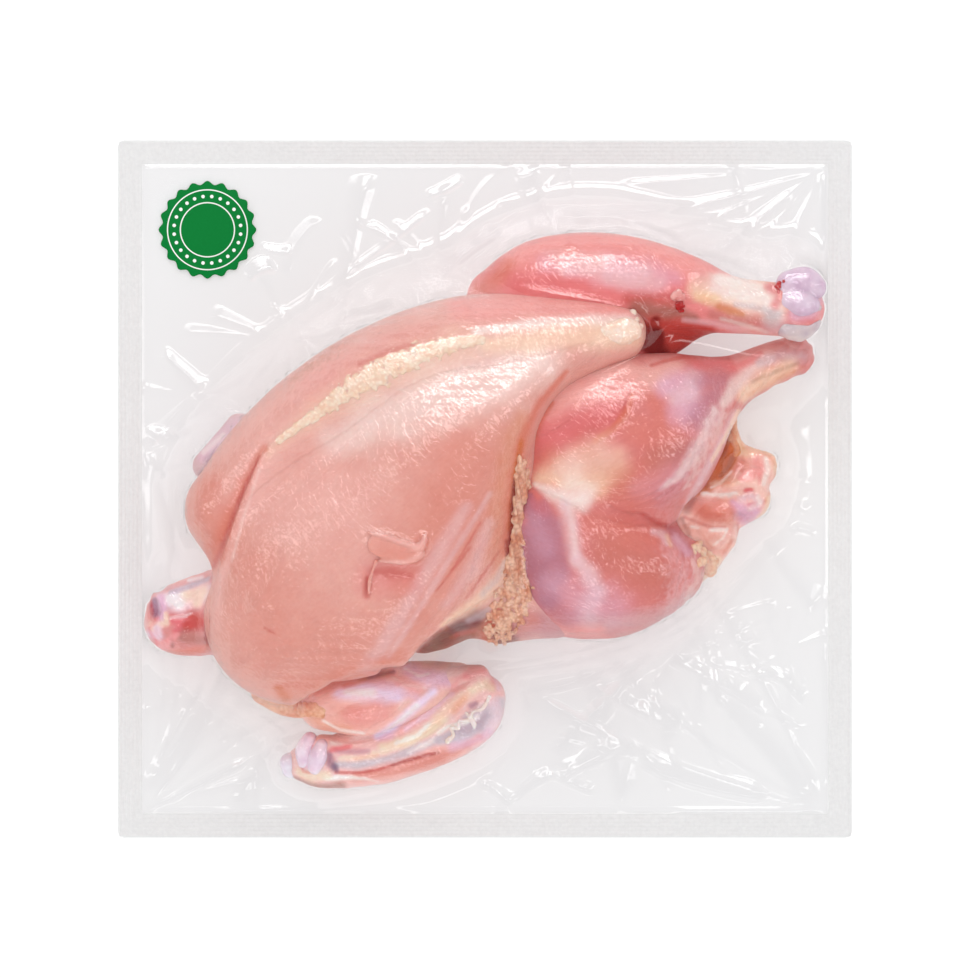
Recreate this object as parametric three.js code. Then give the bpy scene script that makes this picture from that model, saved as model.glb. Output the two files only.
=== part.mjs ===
// A whole skinless raw chicken in a flat clear vacuum pouch, with a round paper label.
// The bird lies on its back, rolled a little on to its far side: neck at -X, ankles at +X,
// far drumstick at +Y, near wing at -Y. Its breastbone runs along the top. The top film is
// drawn down over it and meets the bottom film in a flat web, and a knurled heat seal runs
// round all four sides. Millimetres, +Z up, origin at the centre of the pouch's underside.

import * as THREE from "three";

// Pouch.
const POUCH_LENGTH = 320;
const POUCH_WIDTH = 304;
const SEAL_WIDTH = 10.5;
const SEAL_THICKNESS = 0.8;
const WEB_THICKNESS = 0.8;
const FILM_STANDOFF = 0.4;
// The fillet that the film takes between a steep side of the bird and the web.
const FILLET_RADIUS = 20;
// The pouch surface is a grid of this many cells each way, one of them across each seal.
const CELLS = 72;
const RELAX_SWEEPS = 260;
const RELAX_FACTOR = 1.7;

// Tension folds: ridges that the drawn-down film throws from the bird out to the seal.
const FOLD_HALF_WIDTH = 7.5;
const TENSION_FOLDS = [
  { from: [-100, -70], to: [-146, -134], height: 3.2 },
  { from: [-84, -104], to: [-108, -140], height: 2.2 },
  { from: [40, -74], to: [62, -136], height: 3.0 },
  { from: [92, -62], to: [144, -136], height: 3.4 },
  { from: [122, -20], to: [147, -52], height: 2.2 },
  { from: [142, 96], to: [148, 138], height: 2.4 },
  { from: [30, 112], to: [18, 140], height: 2.6 },
  { from: [-62, 74], to: [-52, 138], height: 2.4 },
  { from: [-132, -34], to: [-148, 16], height: 2.2 },
];

// Label: a round sticker with a scalloped edge on the flat web, beside the far breast.
const LABEL_RADIUS = 21.3;
const SCALLOPS = 20;
const SCALLOP_DEPTH = 1.6;
const SIDES_PER_SCALLOP = 6;
const LABEL_THICKNESS = 0.25;
const LABEL_CENTRE = [-121, 113];
const LABEL_GAP = 0.3;
// The web stays flat this far round the label.
const LABEL_MARGIN = 6;

// The bird. A muscle, limb or knuckle is a smooth sleeve over stations along it, each
// station [x, y, z, half width, half height]. Forms in one group run into each other over
// the group's blend height.
const SLEEVE_STEPS = 12;
const BIRD = [
  {
    // Rib cage, both breast fillets and the fat-covered keel between them.
    blend: 12,
    forms: [
      {
        name: "rib cage",
        stations: [
          [-61, -30, 30, 37, 22], [-40, -21, 30, 52, 25.5], [-12, -10, 30, 58, 27],
          [16, 1, 30, 52, 25.5], [37, 10, 30, 37, 22],
        ],
      },
      {
        name: "near breast fillet",
        stations: [
          [-81, -53, 36, 39, 36], [-54, -30, 40, 58, 45], [-34, -8, 42, 50, 48],
          [-16, 19, 44, 40, 47], [6, 36, 46, 28, 40], [28, 51, 48, 17, 28],
          [44, 59, 50, 11, 18], [56, 63, 50, 7, 10],
        ],
      },
      {
        name: "far breast fillet",
        stations: [
          [-107, -9, 38, 21, 24], [-84, 17, 42, 23, 31], [-50, 41, 46, 25, 34],
          [-12, 56, 46, 25, 33], [24, 62, 46, 21, 27], [48, 66, 46, 15, 19],
          [56, 68, 48, 9, 11],
        ],
      },
      {
        name: "keel",
        stations: [
          [-98, -4, 48, 8, 12], [-68, 30, 62, 9, 13], [-43, 46, 67, 9, 13],
          [-19, 56, 65, 9, 13], [6, 61, 60, 9, 12], [31, 65, 55, 8, 11],
          [58, 67, 52, 6, 8],
        ],
      },
      {
        name: "flank",
        stations: [[-18, -60, 20, 14, 18], [4, -49, 24, 15, 22], [30, -47, 26, 17, 24]],
      },
    ],
  },
  {
    // Near leg: the drumstick crosses the top of the thigh and ends in the hock.
    blend: 13,
    forms: [
      {
        name: "near drumstick",
        stations: [
          [42, 10, 32, 33, 36], [62, 19, 34, 36, 36], [88, 32, 31, 25, 27],
          [107, 45, 27, 15, 16], [121, 54, 23, 10.5, 11], [134, 57, 22, 9.5, 10],
        ],
      },
      {
        name: "near thigh",
        stations: [
          [33, -16, 30, 25, 33], [45, -29, 28, 33, 33], [64, -34, 27, 31, 32],
          [80, -30, 25, 23, 26],
        ],
      },
    ],
  },
  {
    // Far leg, with the two rounded knuckles of the hock joint at its end.
    blend: 7,
    forms: [
      {
        name: "far drumstick",
        stations: [
          [6, 81, 30, 14, 16], [26, 87, 38, 20, 22], [54, 88, 40, 20.5, 22],
          [80, 84.5, 39, 17, 18], [102, 79, 37, 12.5, 13], [122, 77, 35, 11.5, 11],
          [133, 77, 34, 12, 11],
        ],
      },
      { name: "outer knuckle", stations: [[136, 88, 38, 9, 9]] },
      { name: "inner knuckle", stations: [[135, 77, 41, 8, 8]] },
      {
        name: "far thigh",
        stations: [[30, 66, 30, 26, 26], [56, 66, 28, 20, 22], [78, 66, 24, 12, 12]],
      },
    ],
  },
  {
    // Rump, ending in the two lobes of the tail.
    blend: 7,
    forms: [
      { name: "rump", stations: [[86, -12, 22, 22, 24], [102, -4, 21, 17, 20]] },
      {
        name: "upper tail lobe",
        stations: [[104, 10, 18, 9, 10], [114, 7, 22, 9, 13], [118, -2, 20, 8, 13]],
      },
      {
        name: "lower tail lobe",
        stations: [[113, -12, 16, 10, 13], [104, -24, 14, 10, 12], [96, -33, 13, 8, 11]],
      },
    ],
  },
  {
    // Neck stump.
    blend: 7,
    forms: [
      {
        name: "neck",
        stations: [
          [-96, -50, 27, 18, 19], [-116, -53, 25, 18, 19], [-130, -56, 23, 16, 17],
          [-137, -58, 22, 9, 11],
        ],
      },
    ],
  },
  {
    // Near wing, folded double, and the stub of the far wing.
    blend: 7,
    forms: [
      {
        name: "upper wing",
        stations: [
          [-66, -90, 22, 15, 15], [-48, -93, 21, 17, 17], [-28, -88, 20, 14, 14],
          [-10, -83, 16, 9, 10],
        ],
      },
      {
        name: "forearm",
        stations: [
          [-78, -119, 11, 8, 8], [-66, -119, 14, 11, 12], [-45, -118, 14, 11, 12],
          [-22, -109, 14, 14, 14], [-6, -98, 15, 15, 15], [-2, -89, 15, 11, 12],
        ],
      },
      { name: "far wing stub", stations: [[-119, 10, 26, 6.5, 9], [-105, 26, 26, 6.5, 9]] },
    ],
  },
];

// A height far below the table, for places that a form doesn't cover.
const NOWHERE = -1000;

// ---------------------------------------------------------------------------- bird

// Stations between the given ones, on a Catmull-Rom curve through all five numbers.
function fillStations(stations) {
  if (stations.length === 1) {
    return stations;
  }
  const first = stations[0];
  const last = stations[stations.length - 1];
  const extend = (end, next) => end.map((value, i) => 2 * value - next[i]);
  const rows = [
    extend(first, stations[1]),
    ...stations,
    extend(last, stations[stations.length - 2]),
  ];
  const filled = [];
  for (let i = 1; i < rows.length - 2; i += 1) {
    for (let step = 0; step < SLEEVE_STEPS; step += 1) {
      const t = step / SLEEVE_STEPS;
      filled.push(rows[i].map((b, k) => {
        const a = rows[i - 1][k];
        const c = rows[i + 1][k];
        const d = rows[i + 2][k];
        return 0.5 * (2 * b + (c - a) * t + (2 * a - 5 * b + 4 * c - d) * t * t
          + (3 * b - a - 3 * c + d) * t * t * t);
      }));
    }
  }
  filled.push(last);
  return filled;
}

// The upper surface of a sleeve: the highest of its stations' spheroids.
function sleeveHeight(stations, x, y) {
  let height = NOWHERE;
  for (const [cx, cy, cz, halfWidth, halfHeight] of stations) {
    const r2 = ((x - cx) ** 2 + (y - cy) ** 2) / halfWidth ** 2;
    if (r2 < 1) {
      height = Math.max(height, cz + halfHeight * Math.sqrt(1 - r2));
    }
  }
  return height;
}

// The higher of two surfaces, rounded where they cross.
function blendHeights(a, b, blend) {
  if (a === NOWHERE || b === NOWHERE) {
    return Math.max(a, b);
  }
  const share = THREE.MathUtils.clamp(0.5 + (0.5 * (a - b)) / blend, 0, 1);
  return b + (a - b) * share + blend * share * (1 - share);
}

const groups = BIRD.map(({ blend, forms }) => ({
  blend,
  surfaces: forms.map((form) => {
    const stations = fillStations(form.stations);
    return (x, y) => sleeveHeight(stations, x, y);
  }),
}));

function birdHeight(x, y) {
  let height = NOWHERE;
  for (const { blend, surfaces } of groups) {
    let groupHeight = NOWHERE;
    for (const surface of surfaces) {
      groupHeight = blendHeights(groupHeight, surface(x, y), blend);
    }
    height = Math.max(height, groupHeight);
  }
  return height;
}

// --------------------------------------------------------------------------- pouch

// Grid lines across one side of the pouch: its two edges and the seal's inner lines,
// with even cells between them.
function gridLines(size) {
  const inner = size - 2 * SEAL_WIDTH;
  const lines = [-size / 2];
  for (let i = 0; i <= CELLS - 2; i += 1) {
    lines.push(-inner / 2 + (inner * i) / (CELLS - 2));
  }
  lines.push(size / 2);
  return lines;
}

// The ridge that one tension fold adds: full height in its middle, none at its ends.
function foldRidge({ from, to, height }, x, y) {
  const run = [to[0] - from[0], to[1] - from[1]];
  const length = Math.hypot(...run);
  const t = ((x - from[0]) * run[0] + (y - from[1]) * run[1]) / length ** 2;
  const off = ((x - from[0]) * run[1] - (y - from[1]) * run[0]) / length;
  if (t <= 0 || t >= 1 || Math.abs(off) >= FOLD_HALF_WIDTH) {
    return 0;
  }
  const crest = 0.5 + 0.5 * Math.cos((Math.PI * off) / FOLD_HALF_WIDTH);
  return height * crest * Math.sin(Math.PI * t);
}

// The film as a stretched sheet: clamped at the seal and the label, held down on the
// table by the air outside, and held up by the bird.
function filmHeights(xs, ys) {
  const count = xs.length;
  const spacing = (xs[2] - xs[1] + ys[2] - ys[1]) / 2;
  const pull = (spacing * spacing) / (4 * FILLET_RADIUS);
  const at = (i, j) => j * count + i;
  const floor = new Float64Array(count * count).fill(WEB_THICKNESS);
  const clamped = new Uint8Array(count * count);
  for (let j = 0; j < count; j += 1) {
    for (let i = 0; i < count; i += 1) {
      const fromEdge = Math.min(i, j, count - 1 - i, count - 1 - j);
      const fromLabel = Math.hypot(xs[i] - LABEL_CENTRE[0], ys[j] - LABEL_CENTRE[1]);
      if (fromEdge <= 1) {
        floor[at(i, j)] = SEAL_THICKNESS;
        clamped[at(i, j)] = 1;
      } else if (fromLabel < LABEL_RADIUS + LABEL_MARGIN) {
        clamped[at(i, j)] = 1;
      } else {
        const bird = birdHeight(xs[i], ys[j]) + FILM_STANDOFF;
        floor[at(i, j)] = Math.max(WEB_THICKNESS, bird);
      }
    }
  }
  const height = Float64Array.from(floor);
  for (let sweep = 0; sweep < RELAX_SWEEPS; sweep += 1) {
    for (let j = 1; j < count - 1; j += 1) {
      for (let i = 1; i < count - 1; i += 1) {
        const k = at(i, j);
        if (!clamped[k]) {
          const around = height[k - 1] + height[k + 1] + height[k - count] + height[k + count];
          const target = around / 4 - pull;
          const moved = height[k] + RELAX_FACTOR * (target - height[k]);
          height[k] = Math.max(floor[k], moved);
        }
      }
    }
  }
  for (let j = 0; j < count; j += 1) {
    for (let i = 0; i < count; i += 1) {
      if (!clamped[at(i, j)]) {
        for (const fold of TENSION_FOLDS) {
          height[at(i, j)] += foldRidge(fold, xs[i], ys[j]);
        }
      }
    }
  }
  return height;
}

// One closed solid: the film's top surface, the four cut edges and the flat underside.
function pouchGeometry() {
  const xs = gridLines(POUCH_LENGTH);
  const ys = gridLines(POUCH_WIDTH);
  const count = xs.length;
  const height = filmHeights(xs, ys);
  const at = (i, j) => j * count + i;
  const positions = [];
  for (let j = 0; j < count; j += 1) {
    for (let i = 0; i < count; i += 1) {
      positions.push(xs[i], ys[j], height[at(i, j)]);
    }
  }

  const faces = [];
  for (let j = 0; j < count - 1; j += 1) {
    for (let i = 0; i < count - 1; i += 1) {
      const [a, b, c, d] = [at(i, j), at(i + 1, j), at(i + 1, j + 1), at(i, j + 1)];
      // Each cell is split along its flatter diagonal, so that ridges stay clean.
      if (Math.abs(height[a] - height[c]) <= Math.abs(height[b] - height[d])) {
        faces.push(a, b, c, a, c, d);
      } else {
        faces.push(a, b, d, b, c, d);
      }
    }
  }

  const last = count - 1;
  const rim = [];
  for (let i = 0; i < last; i += 1) {
    rim.push([i, 0]);
  }
  for (let j = 0; j < last; j += 1) {
    rim.push([last, j]);
  }
  for (let i = last; i > 0; i -= 1) {
    rim.push([i, last]);
  }
  for (let j = last; j > 0; j -= 1) {
    rim.push([0, j]);
  }
  const lowerRim = positions.length / 3;
  for (const [i, j] of rim) {
    positions.push(xs[i], ys[j], 0);
  }
  const middle = positions.length / 3;
  positions.push(0, 0, 0);
  for (let n = 0; n < rim.length; n += 1) {
    const next = (n + 1) % rim.length;
    const [upper, upperNext] = [at(...rim[n]), at(...rim[next])];
    const [lower, lowerNext] = [lowerRim + n, lowerRim + next];
    faces.push(lower, lowerNext, upperNext, lower, upperNext, upper);
    faces.push(middle, lowerNext, lower);
  }

  const geometry = new THREE.BufferGeometry();
  geometry.setAttribute("position", new THREE.Float32BufferAttribute(positions, 3));
  geometry.setIndex(faces);
  geometry.computeVertexNormals();
  return geometry;
}

function vacuumPack() {
  const material = new THREE.MeshStandardMaterial({
    color: 0xe6a79b,
    roughness: 0.25,
    metalness: 0,
  });
  const mesh = new THREE.Mesh(pouchGeometry(), material);
  mesh.name = "vacuum_pack";
  return mesh;
}

// --------------------------------------------------------------------------- label

function roundLabel() {
  const sides = SCALLOPS * SIDES_PER_SCALLOP;
  const outline = new THREE.Shape();
  for (let n = 0; n < sides; n += 1) {
    const turn = (2 * Math.PI * n) / sides;
    const dip = (SCALLOP_DEPTH / 2) * (1 - Math.cos(SCALLOPS * turn));
    const radius = LABEL_RADIUS - dip;
    const point = [radius * Math.cos(turn), radius * Math.sin(turn)];
    if (n === 0) {
      outline.moveTo(...point);
    } else {
      outline.lineTo(...point);
    }
  }
  outline.closePath();
  const geometry = new THREE.ExtrudeGeometry(outline, {
    depth: LABEL_THICKNESS,
    bevelEnabled: false,
  });
  const material = new THREE.MeshStandardMaterial({
    color: 0x0d8440,
    roughness: 0.45,
    metalness: 0,
  });
  const mesh = new THREE.Mesh(geometry, material);
  mesh.name = "round_label";
  mesh.position.set(...LABEL_CENTRE, WEB_THICKNESS + LABEL_GAP);
  return mesh;
}

// ------------------------------------------------------------------------ assembly

const packedChicken = new THREE.Group();
packedChicken.add(vacuumPack(), roundLabel());

export default packedChicken;
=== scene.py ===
"""A whole skinless raw chicken in a clear vacuum pouch, put together from the bird outwards:
breast, legs, rump, neck and wings, then fat, tendons and cartilage, then film, seal and label.
Shapes are worked out in millimetres and become metres where a mesh is made."""

import math

import bpy
import numpy as np
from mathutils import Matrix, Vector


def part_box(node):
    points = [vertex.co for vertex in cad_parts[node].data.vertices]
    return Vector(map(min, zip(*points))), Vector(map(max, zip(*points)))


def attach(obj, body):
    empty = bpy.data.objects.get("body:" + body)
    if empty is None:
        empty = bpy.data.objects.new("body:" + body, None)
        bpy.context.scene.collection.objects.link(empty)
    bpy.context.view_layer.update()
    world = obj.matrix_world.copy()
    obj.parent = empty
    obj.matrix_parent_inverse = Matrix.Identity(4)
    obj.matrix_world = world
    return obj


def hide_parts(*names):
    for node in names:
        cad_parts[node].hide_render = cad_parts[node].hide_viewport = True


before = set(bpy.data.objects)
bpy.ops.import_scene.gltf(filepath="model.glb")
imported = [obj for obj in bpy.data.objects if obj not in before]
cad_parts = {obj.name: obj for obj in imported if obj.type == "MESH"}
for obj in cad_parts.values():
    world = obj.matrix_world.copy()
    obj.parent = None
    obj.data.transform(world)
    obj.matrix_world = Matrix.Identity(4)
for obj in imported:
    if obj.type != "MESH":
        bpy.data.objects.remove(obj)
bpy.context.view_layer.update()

# --------------------------------------------------------------------------------- breast
# The body of the bird: two breast fillets over the rib cage, meeting at the keel, with the
# thin flank muscle behind them. One mass of soft wet muscle, its skin already pulled off.
# It lies on its own back, which is pressed flat against the bottom film.

MM = 0.001
# The height of the flat underside, the blend into it, and the room left round a field.
REST_HEIGHT = 1.0
REST_BLEND = 2.5
FIELD_ROOM = 3
# Stand-ins for a field value and for a distance that nothing has come near yet.
FAR_OFF = 40.0
VERY_FAR = 1e9
# How far apart the fibres of neighbouring sleeves are read, and how sharp a lap's edge is.
SLEEVE_SHIFT = 90
LAP_WIDTH = 1.4

# A muscle is a smooth sleeve over stations along it: x, y, z, half width, half height.
BREAST_FORMS = [
    # rib cage
    [
        (-61, -30, 30, 37, 22), (-40, -21, 30, 52, 25.5), (-12, -10, 30, 58, 27),
        (16, 1, 30, 52, 25.5), (37, 10, 30, 37, 22),
    ],
    # near fillet
    [
        (-81, -53, 36, 39, 36), (-54, -30, 40, 58, 45), (-34, -8, 42, 50, 48),
        (-16, 19, 44, 38, 47), (6, 36, 47, 21.5, 38), (28, 52, 50, 10, 25),
        (44, 60, 51, 8, 17), (56, 63, 50, 6, 10),
    ],
    # far fillet
    [
        (-107, -9, 38, 21, 24), (-84, 17, 42, 23, 31), (-50, 41, 46, 25, 34),
        (-12, 56, 46, 25, 33), (24, 62, 46, 21, 27), (48, 66, 46, 15, 19),
        (56, 68, 48, 9, 11),
    ],
    # keel
    [
        (-98, -4, 48, 8, 12), (-68, 30, 62, 9, 13), (-43, 46, 67, 9, 13),
        (-19, 56, 65, 9, 13), (6, 61, 60, 9, 12), (31, 65, 55, 8, 11), (58, 67, 52, 6, 8),
    ],
    # flank
    [(-18, -60, 20, 14, 18), (4, -49, 24, 15, 22), (30, -47, 26, 17, 24)],
]


def fill_stations(stations, gap=2.5):
    """Stations no more than gap apart, on a Catmull-Rom curve through the given ones."""
    rows = np.array(stations, dtype=float)
    if len(rows) == 1:
        return rows
    rows = np.vstack([2 * rows[0] - rows[1], rows, 2 * rows[-1] - rows[-2]])
    filled = []
    for a, b, c, d in zip(rows, rows[1:], rows[2:], rows[3:]):
        steps = max(2, math.ceil(np.linalg.norm(c[:3] - b[:3]) / gap))
        for t in np.arange(steps) / steps:
            cubic = 2 * b + (c - a) * t + (2 * a - 5 * b + 4 * c - d) * t**2
            filled.append(0.5 * (cubic + (3 * b - a - 3 * c + d) * t**3))
    filled.append(rows[-2])
    return np.array(filled)


def smooth_min(a, b, blend):
    """The lower of two fields, rounded over blend where they cross."""
    share = np.clip(0.5 + 0.5 * (b - a) / blend, 0, 1)
    return b + (a - b) * share - blend * share * (1 - share)


def sleeve_field(rows, axes):
    """Rough signed distance to a filled sleeve, close to its surface, on a grid."""
    field = np.full([len(axis) for axis in axes], FAR_OFF, dtype=np.float32)
    reach = 6.0 * (axes[0][1] - axes[0][0])
    for x, y, z, wide, high in rows:
        spans = ((x, wide), (y, wide), (z, high))
        window = tuple(
            slice(*np.searchsorted(axis, (middle - half - reach, middle + half + reach)))
            for axis, (middle, half) in zip(axes, spans)
        )
        dx, dy, dz = (axis[cut] - m for axis, cut, m in zip(axes, window, (x, y, z)))
        flat = ((dx[:, None] ** 2 + dy[None, :] ** 2) / wide**2)[:, :, None]
        tall = (dz**2 / high**2)[None, None, :]
        size = np.sqrt(flat + tall)
        slope = np.sqrt(flat / wide**2 + tall / high**2) + 1e-6
        part = size * (size - 1) / slope
        np.minimum(field[window], part, out=field[window])
    return field


def group_field(sleeves, blend, step):
    """Filled sleeves as one field, each run into the last, flat where the bird lies."""
    rows = np.vstack(sleeves)
    halves = rows[:, [3, 3, 4]]
    low = (rows[:, :3] - halves).min(axis=0) - FIELD_ROOM
    high = (rows[:, :3] + halves).max(axis=0) + FIELD_ROOM
    low[2] = max(low[2], REST_HEIGHT - FIELD_ROOM)
    axes = [np.arange(a, b + step, step, dtype=np.float32) for a, b in zip(low, high)]
    field = sleeve_field(sleeves[0], axes)
    for rows in sleeves[1:]:
        field = smooth_min(field, sleeve_field(rows, axes), blend)
    table = np.broadcast_to(REST_HEIGHT - axes[2], field.shape)
    return -smooth_min(-field, -table, REST_BLEND), axes


# The corners of a cube, and the pairs of corners that its edges join.
CORNERS = np.array([(i, j, k) for i in (0, 1) for j in (0, 1) for k in (0, 1)])
EDGES = [
    (a, b)
    for a in range(8)
    for b in range(a + 1, 8)
    if np.abs(CORNERS[a] - CORNERS[b]).sum() == 1
]


def surface_net(field, axes):
    """Vertices and quads of the field's zero surface: one vertex in each crossed cell."""
    inside = field < 0
    shape = np.array(field.shape) - 1
    count = np.zeros(shape, dtype=np.int8)
    for i, j, k in CORNERS:
        count += inside[i : i + shape[0], j : j + shape[1], k : k + shape[2]]
    cells = np.argwhere((count > 0) & (count < 8))
    values = np.stack([field[tuple((cells + corner).T)] for corner in CORNERS], axis=1)
    total = np.zeros((len(cells), 3))
    hits = np.zeros(len(cells))
    for a, b in EDGES:
        crossed = (values[:, a] < 0) != (values[:, b] < 0)
        span = np.where(crossed, values[:, a] - values[:, b], 1)
        t = (values[:, a] / span)[:, None]
        total += np.where(crossed[:, None], CORNERS[a] + t * (CORNERS[b] - CORNERS[a]), 0)
        hits += crossed
    step = axes[0][1] - axes[0][0]
    start = np.array([axis[0] for axis in axes])
    points = start + step * (cells + total / hits[:, None])

    number = np.full(shape, -1, dtype=np.int32)
    number[tuple(cells.T)] = np.arange(len(cells))
    quads = []
    for axis in range(3):
        ahead = np.eye(3, dtype=int)[axis]
        side_a, side_b = np.eye(3, dtype=int)[(axis + 1) % 3], np.eye(3, dtype=int)[(axis + 2) % 3]
        starts = np.argwhere(np.diff(inside.astype(np.int8), axis=axis) != 0)
        fits = (starts[:, (axis + 1) % 3] > 0) & (starts[:, (axis + 2) % 3] > 0)
        fits &= (starts < shape).all(axis=1)
        starts = starts[fits]
        around = [starts - side_a - side_b, starts - side_b, starts, starts - side_a]
        ring = np.stack([number[tuple(cell.T)] for cell in around], axis=1)
        goes_out = inside[tuple(starts.T)] & ~inside[tuple((starts + ahead).T)]
        ring[~goes_out] = ring[~goes_out][:, ::-1]
        quads.append(ring)
    return points, np.vstack(quads)


def settle(points, quads, rounds=3):
    """Evens a net's vertices out by a few rounds of averaging with their neighbours."""
    ends = np.vstack([quads[:, [n, (n + 1) % 4]] for n in range(4)])
    links = np.bincount(ends[:, 0], minlength=len(points))
    for weight in (0.5, -0.52) * rounds:
        total = np.stack(
            [np.bincount(ends[:, 0], points[ends[:, 1], n], len(points)) for n in range(3)], 1
        )
        points = points + weight * (total / links[:, None] - points)
    return points


def vertex_normals(points, quads):
    """The unit normal at each vertex, from the quads that meet there."""
    corners = points[quads]
    across = np.cross(corners[:, 2] - corners[:, 0], corners[:, 3] - corners[:, 1])
    normals = np.stack(
        [
            np.bincount(quads.ravel(), np.repeat(across[:, n], 4), len(points))
            for n in range(3)
        ],
        axis=1,
    )
    return normals / (np.linalg.norm(normals, axis=1, keepdims=True) + 1e-9)


LATTICE_SIZE = 32
LATTICE = np.random.default_rng(7).random([LATTICE_SIZE] * 3)


def lumps(points, size, seed=0):
    """Smooth random lumps of about the given size at each point, -1 to 1."""
    shifted = points / size + 5.37 * (seed + 1)
    cell = np.floor(shifted).astype(int)
    t = shifted - cell
    t = t * t * (3 - 2 * t)
    total = 0
    for corner in CORNERS:
        share = np.prod(np.where(corner, t, 1 - t), axis=1)
        total = total + share * LATTICE[tuple(((cell + corner) % LATTICE_SIZE).T)]
    return 2 * total - 1


def make_mesh(name, points, faces, loops=4):
    """A smooth-shaded Blender object from millimetre points and equal-sided faces."""
    mesh = bpy.data.meshes.new(name)
    mesh.vertices.add(len(points))
    mesh.vertices.foreach_set("co", (np.asarray(points) * MM).astype(np.float32).ravel())
    mesh.loops.add(faces.size)
    mesh.loops.foreach_set("vertex_index", faces.astype(np.int32).ravel())
    mesh.polygons.add(len(faces))
    mesh.polygons.foreach_set("loop_start", np.arange(0, faces.size, loops, dtype=np.int32))
    mesh.update(calc_edges=True)
    mesh.validate()
    mesh.polygons.foreach_set("use_smooth", np.ones(len(mesh.polygons), dtype=bool))
    piece = bpy.data.objects.new(name, mesh)
    bpy.context.scene.collection.objects.link(piece)
    return piece


def set_mask(piece, name, values):
    """Stores one value, or one vector, for each vertex, for the material to read."""
    vector = np.ndim(values) == 2
    kind = "FLOAT_VECTOR" if vector else "FLOAT"
    layer = piece.data.attributes.new(name, kind, "POINT")
    field = "vector" if vector else "value"
    layer.data.foreach_set(field, np.asarray(values, dtype=np.float32).ravel())


def legs_of_path(points, path):
    """For each leg of a path (x, y, measure): its run, and each point's gap and measure."""
    route = np.array(path, dtype=float)
    if len(route) == 1:
        route = np.vstack([route, route + (0.01, 0, 0)])
    for a, b in zip(route, route[1:]):
        run = b[:2] - a[:2]
        t = np.clip(((points[:, :2] - a[:2]) @ run) / (run @ run), 0, 1)
        gap = points[:, :2] - a[:2] - t[:, None] * run
        yield run, gap, a[2] + t * (b[2] - a[2])


def stroke(points, path, edge=0.35, wobble=0.25, grain=5.0, seed=0):
    """How far a brush stroke covers each point, 0 to 1. The path is (x, y, half width)."""
    nearest = np.full(len(points), VERY_FAR)
    for _, gap, width in legs_of_path(points, path):
        nearest = np.minimum(nearest, np.hypot(*gap.T) / width)
    nearest = nearest + wobble * lumps(points, grain, seed)
    t = np.clip((1 + edge - nearest) / (2 * edge), 0, 1)
    return t * t * (3 - 2 * t)


def along_muscle(points, sleeves):
    """For each point its place along, across and above the sleeve that it lies nearest."""
    best = np.full(len(points), VERY_FAR)
    grain = np.zeros((len(points), 3))
    for number, rows in enumerate(sleeves):
        size = np.full(len(points), VERY_FAR)
        for x, y, z, wide, high in rows:
            flat = np.hypot(points[:, 0] - x, points[:, 1] - y) / wide
            size = np.minimum(size, np.hypot(flat, (points[:, 2] - z) / high))
        run = rows[-1, :2] - rows[0, :2]
        run = run / (np.linalg.norm(run) + 1e-9)
        off = points[:, :2] - rows[len(rows) // 2, :2]
        along = off @ run + SLEEVE_SHIFT * number
        across = off[:, 1] * run[0] - off[:, 0] * run[1]
        mine = size < best
        best[mine] = size[mine]
        grain[mine] = np.stack([along, across, points[:, 2]], axis=1)[mine]
    return grain


# The bird's top surface as a grid of heights, each piece raising it as it is made.
SKY_STEP = 0.8
SKY_HALF = 168.0
SKY_COUNT = int(2 * SKY_HALF / SKY_STEP)
skyline = np.full((SKY_COUNT, SKY_COUNT), -1.0)


def sky_cell(x, y):
    """The grid cell that a place falls in."""
    i = np.clip(((np.asarray(x) + SKY_HALF) / SKY_STEP).astype(int), 0, SKY_COUNT - 1)
    j = np.clip(((np.asarray(y) + SKY_HALF) / SKY_STEP).astype(int), 0, SKY_COUNT - 1)
    return i, j


def raise_skyline(points, quads):
    """Lifts the record of the bird's top surface to this piece, where it is higher."""
    corners = points[quads]
    middles = [(corners[:, n] + corners[:, (n + 1) % 4]) / 2 for n in range(4)]
    samples = np.vstack([points, corners.mean(axis=1), *middles])
    np.maximum.at(skyline, sky_cell(samples[:, 0], samples[:, 1]), samples[:, 2])


def top_height(x, y):
    """The height of the bird's top surface at a place."""
    return skyline[sky_cell(x, y)]


def soft_piece(name, sleeves, blend, step=1.0, relief=None):
    """A part of the bird as a mesh. relief(points) is how far its surface stands out."""
    field, axes = group_field(sleeves, blend, step)
    points, quads = surface_net(field, axes)
    points = settle(points, quads)
    if relief:
        points = points + vertex_normals(points, quads) * relief(points)[:, None]
    points[:, 2] = np.maximum(points[:, 2], REST_HEIGHT)
    raise_skyline(points, quads)
    piece = make_mesh(name, points, quads)
    set_mask(piece, "grain", along_muscle(points, sleeves))
    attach(piece, "root")
    return piece, points


def muscle(name, forms, blend, step, relief):
    """A muscle, or muscles run together, from the stations of its forms."""
    return soft_piece(name, [fill_stations(form) for form in forms], blend, step, relief)


def srgb(red, green, blue):
    """A screen colour, 0 to 255, as the linear colour that a shader takes."""
    parts = [c / 255 for c in (red, green, blue)]
    return (*[c / 12.92 if c < 0.04 else ((c + 0.055) / 1.055) ** 2.4 for c in parts], 1.0)


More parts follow.
